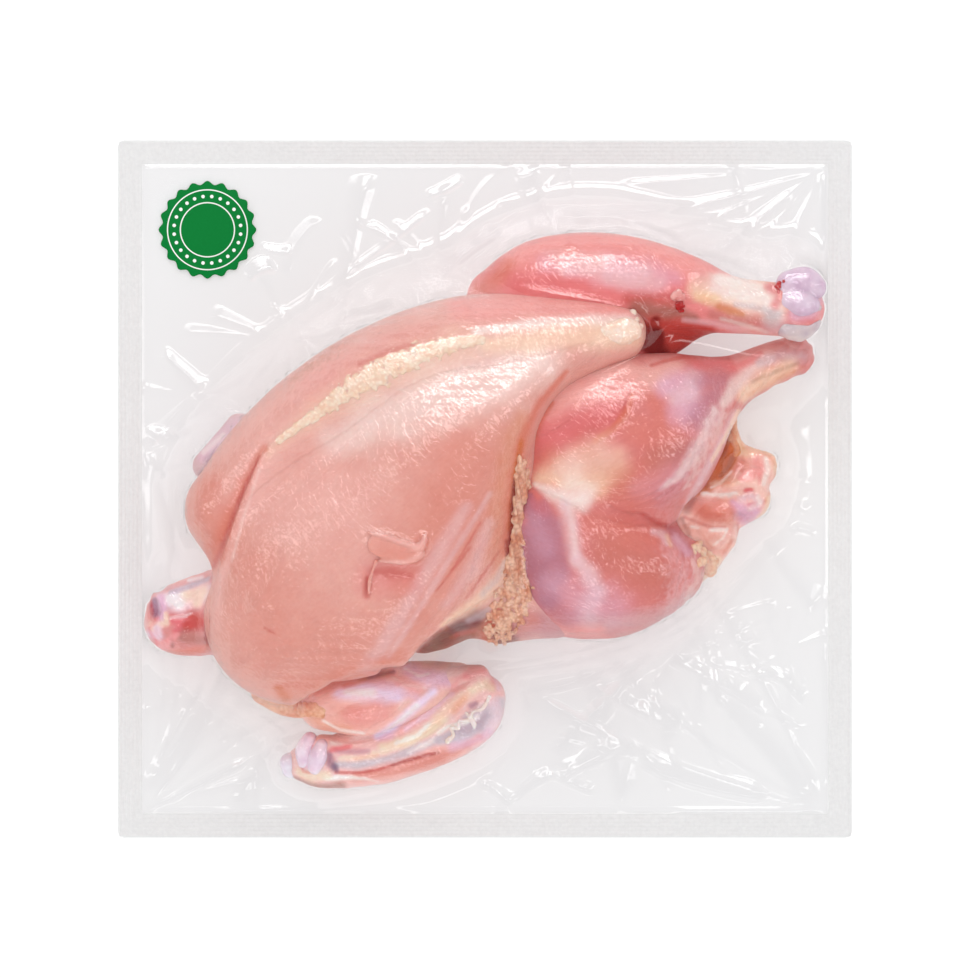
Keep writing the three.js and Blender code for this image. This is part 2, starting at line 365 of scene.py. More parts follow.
# The tints of raw chicken, from pale sheath and fat to blood and bruise. Shade is for painted
# shade, and the bluish white of the wing's sheath carries a painted highlight.
TINTS = {
    "white": srgb(252, 238, 232), "cream": srgb(252, 218, 190), "fat": srgb(248, 206, 166),
    "silver": srgb(238, 206, 212), "lavender": srgb(232, 186, 208), "purple": srgb(190, 128, 146),
    "plum": srgb(150, 96, 124), "navy": srgb(112, 102, 132), "grey": srgb(204, 190, 198),
    "pale": srgb(244, 190, 182), "pink": srgb(246, 166, 162), "rosy": srgb(232, 112, 118),
    "salmon": srgb(226, 146, 130), "coral": srgb(224, 122, 98), "orange": srgb(224, 144, 96),
    "amber": srgb(214, 112, 46), "red": srgb(204, 78, 70), "blood": srgb(128, 10, 6),
    "brown": srgb(160, 100, 84), "shade": srgb(112, 44, 36), "mist": srgb(238, 220, 242),
}
PAINT_FADE = 8
PALEST = 0.97


def paint(piece, points, ground, strokes, lift=(1, 1, 1)):
    """Tints a piece: soft strokes of (tint, strength, edge, path) over its ground colour.

    A stroke may add how far its edge wavers and how coarsely, and it fades near the floor.
    The lift brightens a piece that lies low, where less light falls.
    """
    colour = np.tile(np.array(ground), (len(points), 1))
    above_floor = np.clip(points[:, 2] / PAINT_FADE - 0.4, 0.2, 1)
    for number, (tint, strength, edge, path, *torn) in enumerate(strokes):
        cover = strength * above_floor * stroke(points, path, edge, *torn, seed=number)
        colour += cover[:, None] * (np.array(TINTS[tint]) - colour)
    colour[:, :3] = np.minimum(colour[:, :3] * lift, PALEST)
    layer = piece.data.attributes.new("tint", "FLOAT_COLOR", "POINT")
    layer.data.foreach_set("color", colour.astype(np.float32).ravel())


def lap(points, path, fall):
    """The drop beside a line whose left side is lapped over. The path is (x, y, drop)."""
    nearest = np.full(len(points), VERY_FAR)
    drop = np.zeros(len(points))
    for run, gap, full_drop in legs_of_path(points, path):
        far = np.hypot(*gap.T)
        left = (run[0] * gap[:, 1] - run[1] * gap[:, 0]) / np.hypot(*run)
        depth = full_drop * np.clip(0.5 + left / LAP_WIDTH, 0, 1)
        drop = np.where(far < nearest, depth * np.exp(-far / fall), drop)
        nearest = np.minimum(nearest, far)
    return drop


# Where the near fillet laps over the far one, from the neck to the keel, and how deep.
FILLET_LAP = [
    (-116, -52, 0), (-115, -42, 2.5), (-112, -30, 4.2), (-108, -20, 4.6), (-103, -6, 4.4),
    (-99, 3, 3.6), (-95, 12, 2.4), (-88, 21, 1.2), (-78, 28, 0),
]
# Where the near fillet's lower edge overhangs the flank.
FLANK_LAP = [
    (9, -38, 0), (2, -46, 4), (-6, -51, 8), (-14, -55.4, 9), (-24, -64, 9), (-31, -72, 9),
    (-35, -77.6, 6),
]


def breast_relief(points):
    """Soft lumps, the gash, the laps of the fillets, and folds and creases in the sheath."""
    out = 0.3 * lumps(points, 18, 1) + 0.1 * lumps(points, 6, 2)
    # The gash in the near fillet: a pit and a slit below its loose flap.
    pit = np.hypot((points[:, 0] + 39) / 9, (points[:, 1] + 35) / 4.5)
    dent = np.hypot((points[:, 0] + 49) / 7, (points[:, 1] + 41) / 6)
    slit = np.hypot((points[:, 0] + 48.8) / 1.2, (points[:, 1] + 41) / 6)
    gash = 1.6 * np.exp(-(pit**2)) + 1.6 * np.exp(-(dent**2)) + 1.4 * np.exp(-(slit**2))
    out = out - (points[:, 2] > 60) * gash
    out = out - lap(points, FILLET_LAP, 5)
    # The flank falls away under the lower edge of the near fillet.
    flank = stroke(points, [(-27, -80, 4), (-18, -74, 7), (-6, -71, 8)], 0.8, 0.1)
    out = out - 7 * flank - lap(points, FLANK_LAP, 9)
    # Its lower edge tucks in above the wing.
    tuck = stroke(
        points,
        [
            (-82, -96, 2), (-70, -93.6, 5), (-60, -91.6, 7.6), (-50, -89.6, 9), (-40, -87.6, 9),
            (-31, -85, 7),
        ],
        0.8, 0.05,
    )
    out = out - 9.5 * tuck
    # Folds in the loose tissue along the lower edge of the near fillet.
    folds = stroke(points, [(-88, -66, 4), (-70, -68, 7), (-48, -68, 5)], 0.6, 0.1)
    waves = np.sin(points[:, 1] * 1.15 + 0.06 * points[:, 0] + 2.2 * lumps(points, 14, 4))
    out = out + 0.3 * folds * waves
    # Long creases in the sheath over the lower right of the fillet.
    band = stroke(points, [(-30, -58, 5), (-14, -42, 8), (2, -16, 6)], 0.6, 0.1)
    across = 0.86 * points[:, 0] - 0.5 * points[:, 1]
    return out + 0.22 * band * np.sin(across * 1.3 + 2.5 * lumps(points, 20, 5))


breast, breast_points = muscle("breast", BREAST_FORMS, 12, 1.07, breast_relief)
paint(breast, breast_points, srgb(234, 175, 164), [
    # broad regions of the two fillets
    ("salmon", 0.75, 0.9, [(-6, 12, 18), (-14, -14, 20), (-22, -34, 14)]),
    ("salmon", 0.5, 0.9, [(-98, -30, 12), (-84, -62, 16), (-56, -66, 14), (-34, -56, 12)]),
    ("salmon", 0.7, 0.8, [(-116, 0, 8), (-112, -16, 9), (-114, -28, 6)]),
    # a painted highlight: a pale band over the near fillet below the keel
    ("white", 0.6, 0.9, [(-62, 20, 6), (-44, 30, 10), (-20, 40, 13), (4, 48, 12), (24, 54, 8)]),
    ("pale", 0.6, 0.9, [(-100, -6, 5), (-90, 14, 6), (-70, 36, 7), (-40, 54, 5)]),
    ("pale", 0.45, 0.9, [(-84, -8, 14), (-70, 6, 14), (-60, -8, 16)]),
    (
        "pale", 0.4, 0.9,
        [(-106, -4, 7), (-92, 22, 9), (-70, 44, 9), (-40, 62, 8), (-6, 72, 7), (34, 75, 6)],
    ),
    ("rosy", 0.14, 0.9, [(-70, 44, 7), (-46, 57, 5), (-22, 65, 4)]),
    ("pink", 0.7, 0.8, [(-10, 76, 6), (20, 77, 6), (48, 76, 5), (58, 72, 4)]),
    # along the keel
    ("cream", 0.35, 0.9, [(-92, 14, 2), (-70, 32, 5), (-44, 47, 8), (-10, 60, 7)]),
    ("white", 0.7, 0.8, [(-4, 65.5, 1.6), (20, 69, 2), (45, 70, 2.4), (60, 70, 3)]),
    ("cream", 0.7, 0.8, [(2, 60, 4), (28, 63, 5), (48, 64, 5), (62, 64, 5)]),
    ("red", 0.4, 0.8, [(-52, 52, 1), (-40, 57, 1.2), (-30, 60, 1)]),
    # the lap of the near fillet over the far one
    (
        "coral", 0.6, 0.9,
        [(-92, 17, 1.6), (-101, 1, 3), (-106, -10, 3.6), (-112, -26, 3.6), (-117, -34, 2)],
    ),
    (
        "red", 0.6, 0.8,
        [(-94, 14, 0.5), (-100, 2, 0.8), (-105, -10, 0.9), (-111, -25, 0.9), (-115, -33, 1)],
    ),
    (
        "pale", 0.6, 0.9,
        [(-92, 14, 1), (-98, -2, 1.6), (-105, -20, 1.8), (-110, -36, 1.6), (-113, -58, 1.6)],
    ),
    ("white", 0.3, 0.9, [(-94, 8, 0.5), (-101, -12, 0.5), (-106, -30, 0.5)]),
    # the edge beside the leg
    ("orange", 0.4, 0.9, [(16, 30, 3), (12, 20, 5), (9, 6, 5), (7, -14, 5), (5, -30, 4)]),
    (
        "coral", 0.7, 0.9,
        [(34, 49, 1), (22, 35, 1.4), (15, 20, 2), (12, 6, 2.4), (11, -8, 2.4), (9, -26, 2)],
    ),
    ("amber", 0.8, 0.8, [(15, 20, 1), (13, 8, 1.2), (12, -4, 1.6), (11, -16, 1.6)]),
    ("blood", 0.85, 0.7, [(12.6, 4, 0.8), (12, -6, 1.5), (11.4, -18, 1.5), (10.4, -28, 1.2)]),
    # sheaths over the lower right
    (
        "silver", 0.42, 0.9,
        [(-50, -75, 2.6), (-41, -63, 3), (-31, -47, 3), (-20, -28, 3), (-8, -8, 2.4)],
    ),
    ("silver", 0.4, 0.9, [(-40, -70, 1), (-26, -48, 1.2), (-14, -28, 1.2), (2, -2, 1)]),
    ("silver", 0.35, 0.9, [(-16, -48, 2), (-6, -34, 3), (2, -14, 2)]),
    ("pale", 0.6, 0.8, [(-28, -70, 2), (-33, -75, 2.4), (-37, -78, 1.6)]),
    # the gash, and the lower edge
    ("rosy", 0.34, 0.9, [(-46, -36, 7), (-34, -35, 7)]),
    ("red", 0.5, 0.9, [(-46, -34, 1.6), (-38, -34.5, 2.2), (-31, -36, 1.4)]),
    ("red", 0.6, 0.8, [(-48.6, -37, 1), (-49, -44, 1.2)]),
    ("coral", 0.4, 0.9, [(-84, -86, 4), (-64, -80, 4), (-46, -75, 4), (-36, -70, 3)]),
    ("amber", 0.5, 0.9, [(-87, -84, 1.6), (-84, -88, 2.2)]),
    ("red", 0.5, 0.8, [(-88, -60, 0.5), (-92, -58, 0.4)]),
    # the flank behind the near fillet, in the gap above the wing, first darkened with
    # painted shade in brown, blood red and shade
    (
        "brown", 1.0, 0.5,
        [(-30, -77, 3), (-22, -70, 5), (-12, -62, 6), (-4, -57, 6), (4, -58, 6), (8, -64, 6)],
    ),
    (
        "blood", 0.95, 0.6,
        [(-31, -76, 1.6), (-25, -69, 2.6), (-17, -62.6, 3.4), (-9, -58.4, 3), (-3, -56, 2)],
    ),
    ("shade", 0.85, 0.8, [(-31, -76, 2.4), (-26, -70, 2.8), (-19, -64, 2.6), (-10, -58.6, 2)]),
    ("amber", 0.25, 0.8, [(-14, -63, 1), (-8, -61, 1.4), (-2, -60, 2), (4, -60, 2)]),
    ("red", 0.5, 0.8, [(-12, -62, 1), (-4, -60, 1)]),
    ("grey", 0.5, 0.8, [(-7, -55.4, 1.2), (-1, -53, 1.8), (3, -50, 1)]),
    ("coral", 0.7, 0.8, [(0, -62, 3), (3, -56, 2.4), (5, -50, 2)]),
    # painted shade in the crease above the wing, dark red fading to orange
    ("red", 0.7, 0.8, [(-62, -84.4, 0.6), (-52, -81.6, 1), (-44, -79.6, 1.2), (-37, -79, 1)]),
    ("blood", 0.7, 0.8, [(-54, -82.6, 0.6), (-46, -80.4, 0.8), (-38, -79.8, 0.8)]),
    ("orange", 0.4, 0.8, [(-78, -89.6, 0.8), (-70, -87.6, 1), (-62, -85, 0.8)]),
    # purple and salmon beside the thigh
    ("purple", 0.6, 0.8, [(16, -58, 5), (28, -58, 8), (36, -62, 6)]),
    ("salmon", 0.5, 0.9, [(20, -56, 3), (14, -60, 2)]),
    # the pale sheath along the lower edge, and creases that run into it
    (
        "cream", 0.7, 0.8,
        [(9, -30, 1.4), (6, -38, 2.8), (-1, -45, 2.8), (-9, -51, 2), (-18, -57, 1)],
    ),
    ("grey", 0.45, 0.8, [(8, -31, 1), (5, -38, 1.6), (-1, -44, 1.4)]),
    ("blood", 0.55, 0.8, [(9, -22, 0.8), (9.4, -30, 0.8), (9.6, -38, 0.7)]),
    ("red", 0.5, 0.9, [(-14, -34, 0.35), (-9, -26, 0.5), (-2, -14, 0.35)]),
    ("red", 0.45, 0.9, [(-20, -42, 0.35), (-12, -32, 0.5), (-6, -24, 0.35)]),
    ("red", 0.45, 0.9, [(-8, -46, 0.4), (-1, -36, 0.5), (6, -26, 0.4)]),
])


def add_node(tree, kind, inputs=None, **settings):
    """A new shader node with values or links for its inputs, and its own settings."""
    node = tree.nodes.new(kind)
    for key, value in settings.items():
        setattr(node, key, value)
    for key, value in (inputs or {}).items():
        give(tree, node.inputs[key], value)
    return node


def give(tree, socket, value):
    """Links a socket to another socket, or sets it to a plain value."""
    if isinstance(value, bpy.types.NodeSocket):
        tree.links.new(value, socket)
    else:
        socket.default_value = value


def mix_colour(tree, share, under, over, way="MIX"):
    """One colour laid over another by a share."""
    node = add_node(tree, "ShaderNodeMix", data_type="RGBA", blend_type=way)
    for place, value in zip((0, 6, 7), (share, under, over)):
        give(tree, node.inputs[place], value)
    return node.outputs[2]


def calculate(tree, operation, *values):
    """One step of arithmetic on values or sockets."""
    node = add_node(tree, "ShaderNodeMath", operation=operation)
    for socket, value in zip(node.inputs, values):
        give(tree, socket, value)
    return node.outputs[0]


def mask(tree, name, output="Fac"):
    """A value, colour or vector that is stored on the mesh."""
    return add_node(
        tree, "ShaderNodeAttribute", attribute_name=name, attribute_type="GEOMETRY"
    ).outputs[output]


def object_place(tree):
    """Where a point lies on the object, in metres."""
    return add_node(tree, "ShaderNodeTexCoord").outputs["Object"]


def noise(tree, place, scale, detail=2.0, **values):
    """Cloudy noise at a place, 0 to 1."""
    inputs = {"Vector": place, "Scale": scale, "Detail": detail}
    inputs.update({key.capitalize(): value for key, value in values.items()})
    return add_node(tree, "ShaderNodeTexNoise", inputs).outputs["Fac"]


def spread(tree, value, low, high, start=0.0, end=1.0):
    """Stretches the values between low and high to run from start to end."""
    return add_node(
        tree, "ShaderNodeMapRange",
        {"Value": value, "From Min": low, "From Max": high, "To Min": start, "To Max": end},
    ).outputs[0]


def bump(tree, strength, distance, height, **settings):
    """The normal of a surface roughened by a height."""
    inputs = {"Strength": strength, "Distance": distance, "Height": height}
    return add_node(tree, "ShaderNodeBump", inputs, **settings).outputs[0]


def new_material(name):
    """An empty material, its node tree and its Principled surface."""
    material = bpy.data.materials.new(name)
    material.use_nodes = True
    return material, material.node_tree, material.node_tree.nodes["Principled BSDF"]


def dress(tree, surface, values):
    """Gives a surface its colour, roughness and the rest, by the names of its inputs."""
    for key, value in values.items():
        give(tree, surface.inputs[key], value)


def new_group(name, inputs, outputs):
    """An empty shader node group with the given float or vector inputs and outputs."""
    group = bpy.data.node_groups.new(name, "ShaderNodeTree")
    for way, sockets in (("INPUT", inputs), ("OUTPUT", outputs)):
        for label, kind in sockets.items():
            group.interface.new_socket(label, in_out=way, socket_type=kind)
    return group, group.nodes.new("NodeGroupInput"), group.nodes.new("NodeGroupOutput")


def muscle_grain_group():
    """Fibres drawn out along a muscle, and the soft blotches of paler and deeper meat."""
    group, start, end = new_group(
        "muscle_grain",
        {"Length": "NodeSocketFloat", "Width": "NodeSocketFloat", "Blotch": "NodeSocketFloat"},
        {"Fibre": "NodeSocketFloat", "Blotch": "NodeSocketFloat", "Fleck": "NodeSocketFloat"},
    )
    grain = mask(group, "grain", "Vector")
    size = add_node(group, "ShaderNodeCombineXYZ", {0: start.outputs["Length"]})
    for place in (1, 2):
        give(group, size.inputs[place], start.outputs["Width"])
    drawn = add_node(group, "ShaderNodeVectorMath", operation="DIVIDE")
    give(group, drawn.inputs[0], grain)
    give(group, drawn.inputs[1], size.outputs[0])
    place = object_place(group)
    clouds = {
        "Fibre": noise(group, drawn.outputs[0], 1.0, 3.0, distortion=0.6),
        "Blotch": noise(group, place, start.outputs["Blotch"], 4.0, roughness=0.6),
        "Fleck": noise(group, place, 640.0, 3.0, roughness=0.6),
    }
    for label, cloud in clouds.items():
        give(group, end.inputs[label], spread(group, cloud, 0.3, 0.7))
    return group


muscle_grain = muscle_grain_group()
# How deep light glows into meat, fat and cartilage, in metres.
GLOW_DEPTH = 0.003


def flesh_material(name, fibre_length=26.0, fibre_width=1.1, fibrous=0.2, wet=0.32):
    """Wet raw meat in its painted tints, blotched, flecked and drawn out in fibres."""
    material, tree, surface = new_material(name)
    grain = add_node(tree, "ShaderNodeGroup", node_tree=muscle_grain)
    dress(tree, grain, {"Length": fibre_length, "Width": fibre_width, "Blotch": 70.0})
    fibre, blotch, fleck = (grain.outputs[n] for n in ("Fibre", "Blotch", "Fleck"))
    colour = mask(tree, "tint", "Color")
    deeper = calculate(tree, "MULTIPLY", blotch, 0.8)
    colour = mix_colour(tree, deeper, colour, (0.94, 0.86, 0.85, 1), "MULTIPLY")
    dots = calculate(tree, "MULTIPLY", fleck, 0.7)
    colour = mix_colour(tree, dots, colour, (0.96, 0.86, 0.85, 1), "MULTIPLY")
    streaks = calculate(tree, "MULTIPLY", fibre, fibrous)
    colour = mix_colour(tree, streaks, colour, (0.25, 0.4, 0.4, 1), "DODGE")
    relief = calculate(tree, "MULTIPLY_ADD", fleck, 0.7, fibre)
    dress(tree, surface, {
        "Base Color": colour,
        "Roughness": calculate(tree, "MULTIPLY_ADD", fleck, 0.15, wet),
        "Subsurface Weight": 0.3,
        "Subsurface Radius": (1.0, 0.35, 0.25),
        "Subsurface Scale": GLOW_DEPTH,
        "Specular IOR Level": 0.22,
        "Normal": bump(tree, 0.5, 0.0003, relief),
    })
    return material


breast_meat = flesh_material("breast_meat", 20.0, 0.9, 0.12)
breast.data.materials.append(breast_meat)

# ------------------------------------------------------------------------------- near leg
# Drumstick and thigh folded together at the knee, which is capped with fat and a white
# tendon. Redder, more worked muscle than the breast, with purple sheaths over some of it.

NEAR_LEG_FORMS = [
    [
        (42, 10, 32, 33, 36), (62, 19, 34, 36, 36), (86, 35.5, 31, 21, 26),
        (106, 45.8, 27, 11.6, 14), (120.5, 52.8, 23, 9.4, 10.5), (133, 57.2, 22, 8.6, 10),
    ],
    [(28, 30, 40, 17, 24), (42, 35, 41, 19, 24), (60, 37, 41, 18.5, 23.5), (80, 39, 37, 13, 18)],
    [
        (29, -14, 32, 25, 34), (42, -28, 30, 32, 34), (62, -33, 27, 26.5, 32),
        (76, -33, 25, 18.5, 26),
    ],
    [(22, -45, 22, 12, 22), (34, -43, 23, 18, 27), (52, -42, 24, 18, 28)],
]
# Where the calf of the drumstick laps over the thigh, and how deep.
CALF_LAP = [
    (90, 2, 0), (86, -6, 1.6), (83, -13, 3), (79, -15.5, 3), (73, -14, 2.4), (67, -10.5, 1.8),
    (60, -10, 1.4), (54, -8, 0.9), (47, -3, 0),
]


def near_leg_relief(points):
    """Creases round the calf, strands on the thigh, and tendons along the shin."""
    out = 0.25 * lumps(points, 14, 5) + 0.12 * lumps(points, 5, 6)
    groove = stroke(points, [(61, 40, 0.8), (58, 29, 1.4), (50, 21, 1.2)], 0.9, 0.1)
    shin = stroke(points, [(84, -6, 1), (92, 6, 2.4), (100, 20, 3), (106, 30, 2)], 0.8, 0.1)
    strap = stroke(points, [(30, -1, 3), (36, -12, 3), (38, -26, 2.4), (47, -38, 2)], 0.8, 0.1)
    # Fine creases that curve round the calf, and strands along the edge of the thigh.
    calf = stroke(points, [(56, -3, 5), (68, -2, 7), (80, 2, 7), (90, 16, 6)], 0.8, 0.1)
    round_calf = np.hypot(points[:, 0] - 58, points[:, 1] - 24)
    out = out + 0.22 * calf * np.sin(2.1 * round_calf + 2.4 * lumps(points, 16, 9))
    thigh = stroke(points, [(72, -22, 5), (80, -34, 9), (84, -46, 7)], 0.8, 0.1)
    across = 0.97 * points[:, 0] - 0.26 * points[:, 1]
    out = out + 0.2 * thigh * np.sin(2.0 * across + 2.2 * lumps(points, 15, 3))
    out = out - 1.0 * groove + 0.6 * strap
    out = out + 0.5 * shin * (1 + lumps(points, 2.6, 10))
    # Tendons under the skin of the shin and the ankle.
    cords = stroke(
        points, [(98, 20, 2), (106, 33, 4), (116, 45, 6), (128, 52, 7), (138, 57, 7)], 0.7, 0.1,
    )
    beside = 0.78 * points[:, 0] - 0.62 * points[:, 1]
    out = out + 0.35 * cords * np.sin(1.5 * beside + 1.8 * lumps(points, 9, 7))
    return out - lap(points, CALF_LAP, 5)


near_leg, near_leg_points = muscle("near_leg", NEAR_LEG_FORMS, 13, 0.85, near_leg_relief)
paint(near_leg, near_leg_points, srgb(222, 132, 128), [
    # drumstick, from the body outwards
    ("pale", 0.9, 0.8, [(30, 42, 6), (42, 49, 7), (58, 53, 5)]),
    ("pale", 0.8, 0.9, [(58, 46, 6), (70, 48, 6), (80, 52, 4)]),
    ("white", 0.3, 0.9, [(28, 40, 3), (36, 44, 5), (48, 49, 4)]),
    ("pink", 0.7, 0.9, [(22, 26, 5), (30, 36, 6), (44, 42, 6), (60, 42, 5)]),
    ("pale", 0.5, 0.9, [(26, 34, 4), (34, 39, 5), (46, 42, 5)]),
    ("rosy", 0.5, 0.9, [(22, 22, 5), (34, 24, 6), (46, 28, 7), (56, 32, 4)]),
    ("red", 0.25, 0.9, [(40, 22, 4), (50, 27, 5), (57, 33, 3)]),
    ("coral", 0.7, 0.8, [(16, 13, 2), (19, 20, 2.4), (23, 29, 1.6), (28, 36, 1)]),
    ("red", 0.7, 0.8, [(15.4, 14, 0.8), (17.4, 20, 1), (21, 28, 0.7)]),
    ("coral", 0.35, 0.9, [(22, 10, 4), (28, 14, 4)]),
    ("coral", 0.35, 0.9, [(62, 26, 6), (70, 22, 8), (76, 30, 6), (70, 38, 4)]),
    ("red", 0.35, 0.9, [(61, 41, 0.8), (59, 34, 1.2), (56, 28, 1.2)]),
    ("coral", 0.8, 0.8, [(61.6, 40, 0.7), (60, 34, 1.2), (55, 26.6, 1.6), (46, 20, 1.2)]),
    ("salmon", 0.5, 0.8, [(60, 31, 0.8), (55, 26, 1.2), (48, 21, 1)]),
    ("lavender", 0.8, 0.8, [(77, 43, 5), (84, 43, 7), (84, 34, 7)]),
    ("silver", 0.5, 0.9, [(79, 38, 3), (86, 40, 4), (88, 48, 3)]),
    ("purple", 0.6, 0.9, [(93, 46, 5), (100, 45, 5), (90, 30, 5)]),
    ("rosy", 0.45, 0.9, [(90, 53, 2), (100, 54, 2.4), (106, 52, 2)]),
    ("red", 0.6, 0.8, [(70, 52, 0.7), (76, 54, 0.8), (84, 56, 0.9), (104, 56, 1)]),
    ("brown", 0.3, 0.9, [(72, 12, 5), (84, 16, 5)]),
    # knee
    ("cream", 0.5, 0.95, [(24, 7, 3), (34, 10, 6), (46, 13, 8), (54, 11, 6)]),
    ("cream", 0.75, 0.9, [(22, 4, 2.4), (34, 4, 5), (46, 3, 6)]),
    ("pale", 0.3, 0.95, [(36, 10, 6), (48, 12, 7)]),
    ("white", 0.3, 0.95, [(34, 8, 4), (46, 10, 6)]),
    ("orange", 0.3, 0.95, [(46, 8, 6), (58, 4, 5), (50, -1, 4)]),
    ("coral", 0.3, 0.9, [(54, -5, 3), (62, -4, 6), (68, 6, 7)]),
    ("lavender", 0.2, 0.9, [(64, 0, 4), (72, 2, 6), (78, 6, 6)]),
    ("purple", 0.3, 0.9, [(76, -2, 5), (84, 6, 5), (88, 16, 5)]),
    ("white", 0.85, 0.95, [(21, 2, 1), (28, -1.6, 2.4), (35, -4.6, 4.6), (40, -5, 4)]),
    ("white", 0.5, 0.95, [(36, 2, 3), (44, 0, 3)]),
    # thigh
    ("red", 0.3, 0.9, [(56, -13, 4), (64, -14, 4), (72, -17, 3)]),
    ("coral", 0.3, 0.9, [(46, -14, 5), (60, -18, 6), (70, -20, 5)]),
    ("brown", 0.14, 0.9, [(50, -26, 7), (62, -31, 9), (74, -36, 7)]),
    ("purple", 0.95, 0.6, [(19, -3, 1.4), (21, -12, 5), (22, -22, 8), (23, -34, 8), (27, -44, 6)]),
    ("purple", 0.8, 0.8, [(24, -8, 3), (28, -15, 4), (30, -26, 4), (32, -34, 4)]),
    ("rosy", 0.3, 0.9, [(20, -4, 2), (24, -9, 3)]),
    ("lavender", 0.3, 0.9, [(20, -14, 4), (24, -24, 5)]),
    ("silver", 0.65, 0.95, [(33, -7, 2.4), (35.4, -14, 3), (37, -24, 3), (38, -30, 2.6)]),
    ("white", 0.3, 0.95, [(36, -8, 1.4), (37, -18, 1.4), (38, -27, 1.2)]),
    ("silver", 0.75, 0.8, [(38, -29, 2.4), (43, -35, 3.4), (47, -42, 4), (43, -52, 5)]),
    ("lavender", 0.5, 0.9, [(30, -40, 6), (40, -47, 8), (54, -50, 8)]),
    ("grey", 0.35, 0.9, [(46, -57, 4), (62, -57, 4), (78, -53, 4), (88, -46, 3)]),
    ("purple", 0.5, 0.9, [(20, -46, 4), (30, -52, 5), (36, -56, 5)]),
    ("pink", 0.6, 0.9, [(16, -58, 3), (30, -61, 3), (48, -61, 3)]),
    ("salmon", 0.4, 0.9, [(14, -60, 3), (22, -62, 3)]),
    ("purple", 0.6, 0.9, [(80, -18, 3), (86, -26, 3)]),
    ("lavender", 0.5, 0.9, [(81, -21, 1.6), (86, -27, 1.6)]),
    ("silver", 0.6, 0.9, [(71, -18, 1.6), (75, -19, 1.6), (77, -23, 1)]),
    ("fat", 0.5, 0.9, [(77, -20, 1), (78.6, -24, 0.7)]),
    ("silver", 0.3, 0.9, [(78, -26, 3), (82, -36, 5), (80, -48, 4)], 1.2, 1.6),
    ("white", 0.3, 0.9, [(88, -30, 1.6), (91, -37, 2), (86, -48, 1.6)], 1.2, 1.6),
    ("coral", 0.3, 0.9, [(52, -26, 7), (62, -30, 9), (72, -36, 8)]),
    ("brown", 0.1, 0.9, [(52, -26, 6), (62, -30, 8), (70, -36, 8)]),
    (
        "red", 0.5, 0.9,
        [(66, -10.6, 0.7), (73, -14.6, 0.9), (79, -16, 0.9), (84, -13, 0.8), (88, -4, 0.8)],
    ),
    # shin and ankle
    ("silver", 0.5, 0.9, [(74, 0, 1), (82, 7, 2), (90, 19, 3), (97, 32, 3)]),
    (
        "white", 0.36, 0.9, [(76, 1, 0.9), (82, 6, 1.6), (88, 14, 2), (93, 24, 2), (97, 33, 1.6)],
        1.0, 1.6,
    ),
    ("white", 0.3, 0.9, [(84, 0, 0.9), (89, 9, 1.6), (96, 20, 1.6), (101, 31, 1.6)], 1.0, 1.6),
    (
        "silver", 0.7, 0.9,
        [(83, -12, 0.9), (88, -2, 1.6), (94, 8, 2), (100, 19, 2.2), (107, 30, 2.6)],
    ),
    ("cream", 0.7, 0.8, [(96, 12, 0.8), (102, 22, 1), (108, 33, 1.2)]),
    ("white", 0.6, 0.8, [(101, 36, 2), (106, 43, 3), (112, 50, 3), (120, 56, 3)]),
    ("cream", 0.8, 0.8, [(110, 40, 3), (118, 46, 4), (130, 52, 4)]),
    ("pale", 0.6, 0.9, [(110, 54, 3), (118, 59, 3), (130, 62, 3)]),
    ("rosy", 0.5, 0.9, [(109, 53, 1.4), (114, 55, 1.6), (118, 58, 1)]),
    ("grey", 0.45, 0.9, [(118, 54, 2), (126, 57, 2.4), (136, 57, 3)]),
    ("orange", 0.35, 0.9, [(112, 40, 1), (122, 45, 1.2), (132, 50, 1)]),
    ("brown", 0.35, 0.9, [(114, 46, 0.7), (124, 50, 0.9), (134, 54, 0.9)]),
])
near_leg.data.materials.append(flesh_material("leg_meat", 22.0, 0.9, 0.2))

# -------------------------------------------------------------------------------- far leg
# The far drumstick stands clear of the table. Its hock ends in two bare cartilage
# knuckles, and the inner thigh's deep red shows in the gap between the legs, darkened
# with painted shade.

FAR_LEG_FORMS = [
    [
        (6, 81, 30, 14, 16), (26, 87, 38, 20, 22), (54, 88, 40, 20.5, 22),
        (80, 84.5, 39, 17, 18), (102, 79, 37, 12.5, 13), (122, 77, 35, 11.5, 11),
        (133, 77, 34, 12, 11),
    ],
    [(30, 66, 30, 26, 26), (56, 66, 30, 20, 22), (74, 67, 28, 12, 13), (92, 70, 28, 4, 6)],
]


def far_leg_relief(points):
    """A ridge under the drumstick, and tendons that run out to the hock."""
    out = 0.25 * lumps(points, 13, 8) + 0.12 * lumps(points, 5, 9)
    ridge = stroke(points, [(60, 82, 1), (76, 80, 1.4), (90, 78, 1.4), (104, 75, 1)], 0.9, 0.1)
    # Tendons under the skin of the hock.
    cords = stroke(points, [(94, 82, 3), (104, 80, 5), (116, 78, 6), (128, 76, 6)], 0.7, 0.1)
    waves = np.sin(1.5 * points[:, 1] + 0.2 * points[:, 0] + 1.6 * lumps(points, 9, 7))
    return out - 0.8 * ridge + 0.3 * cords * waves


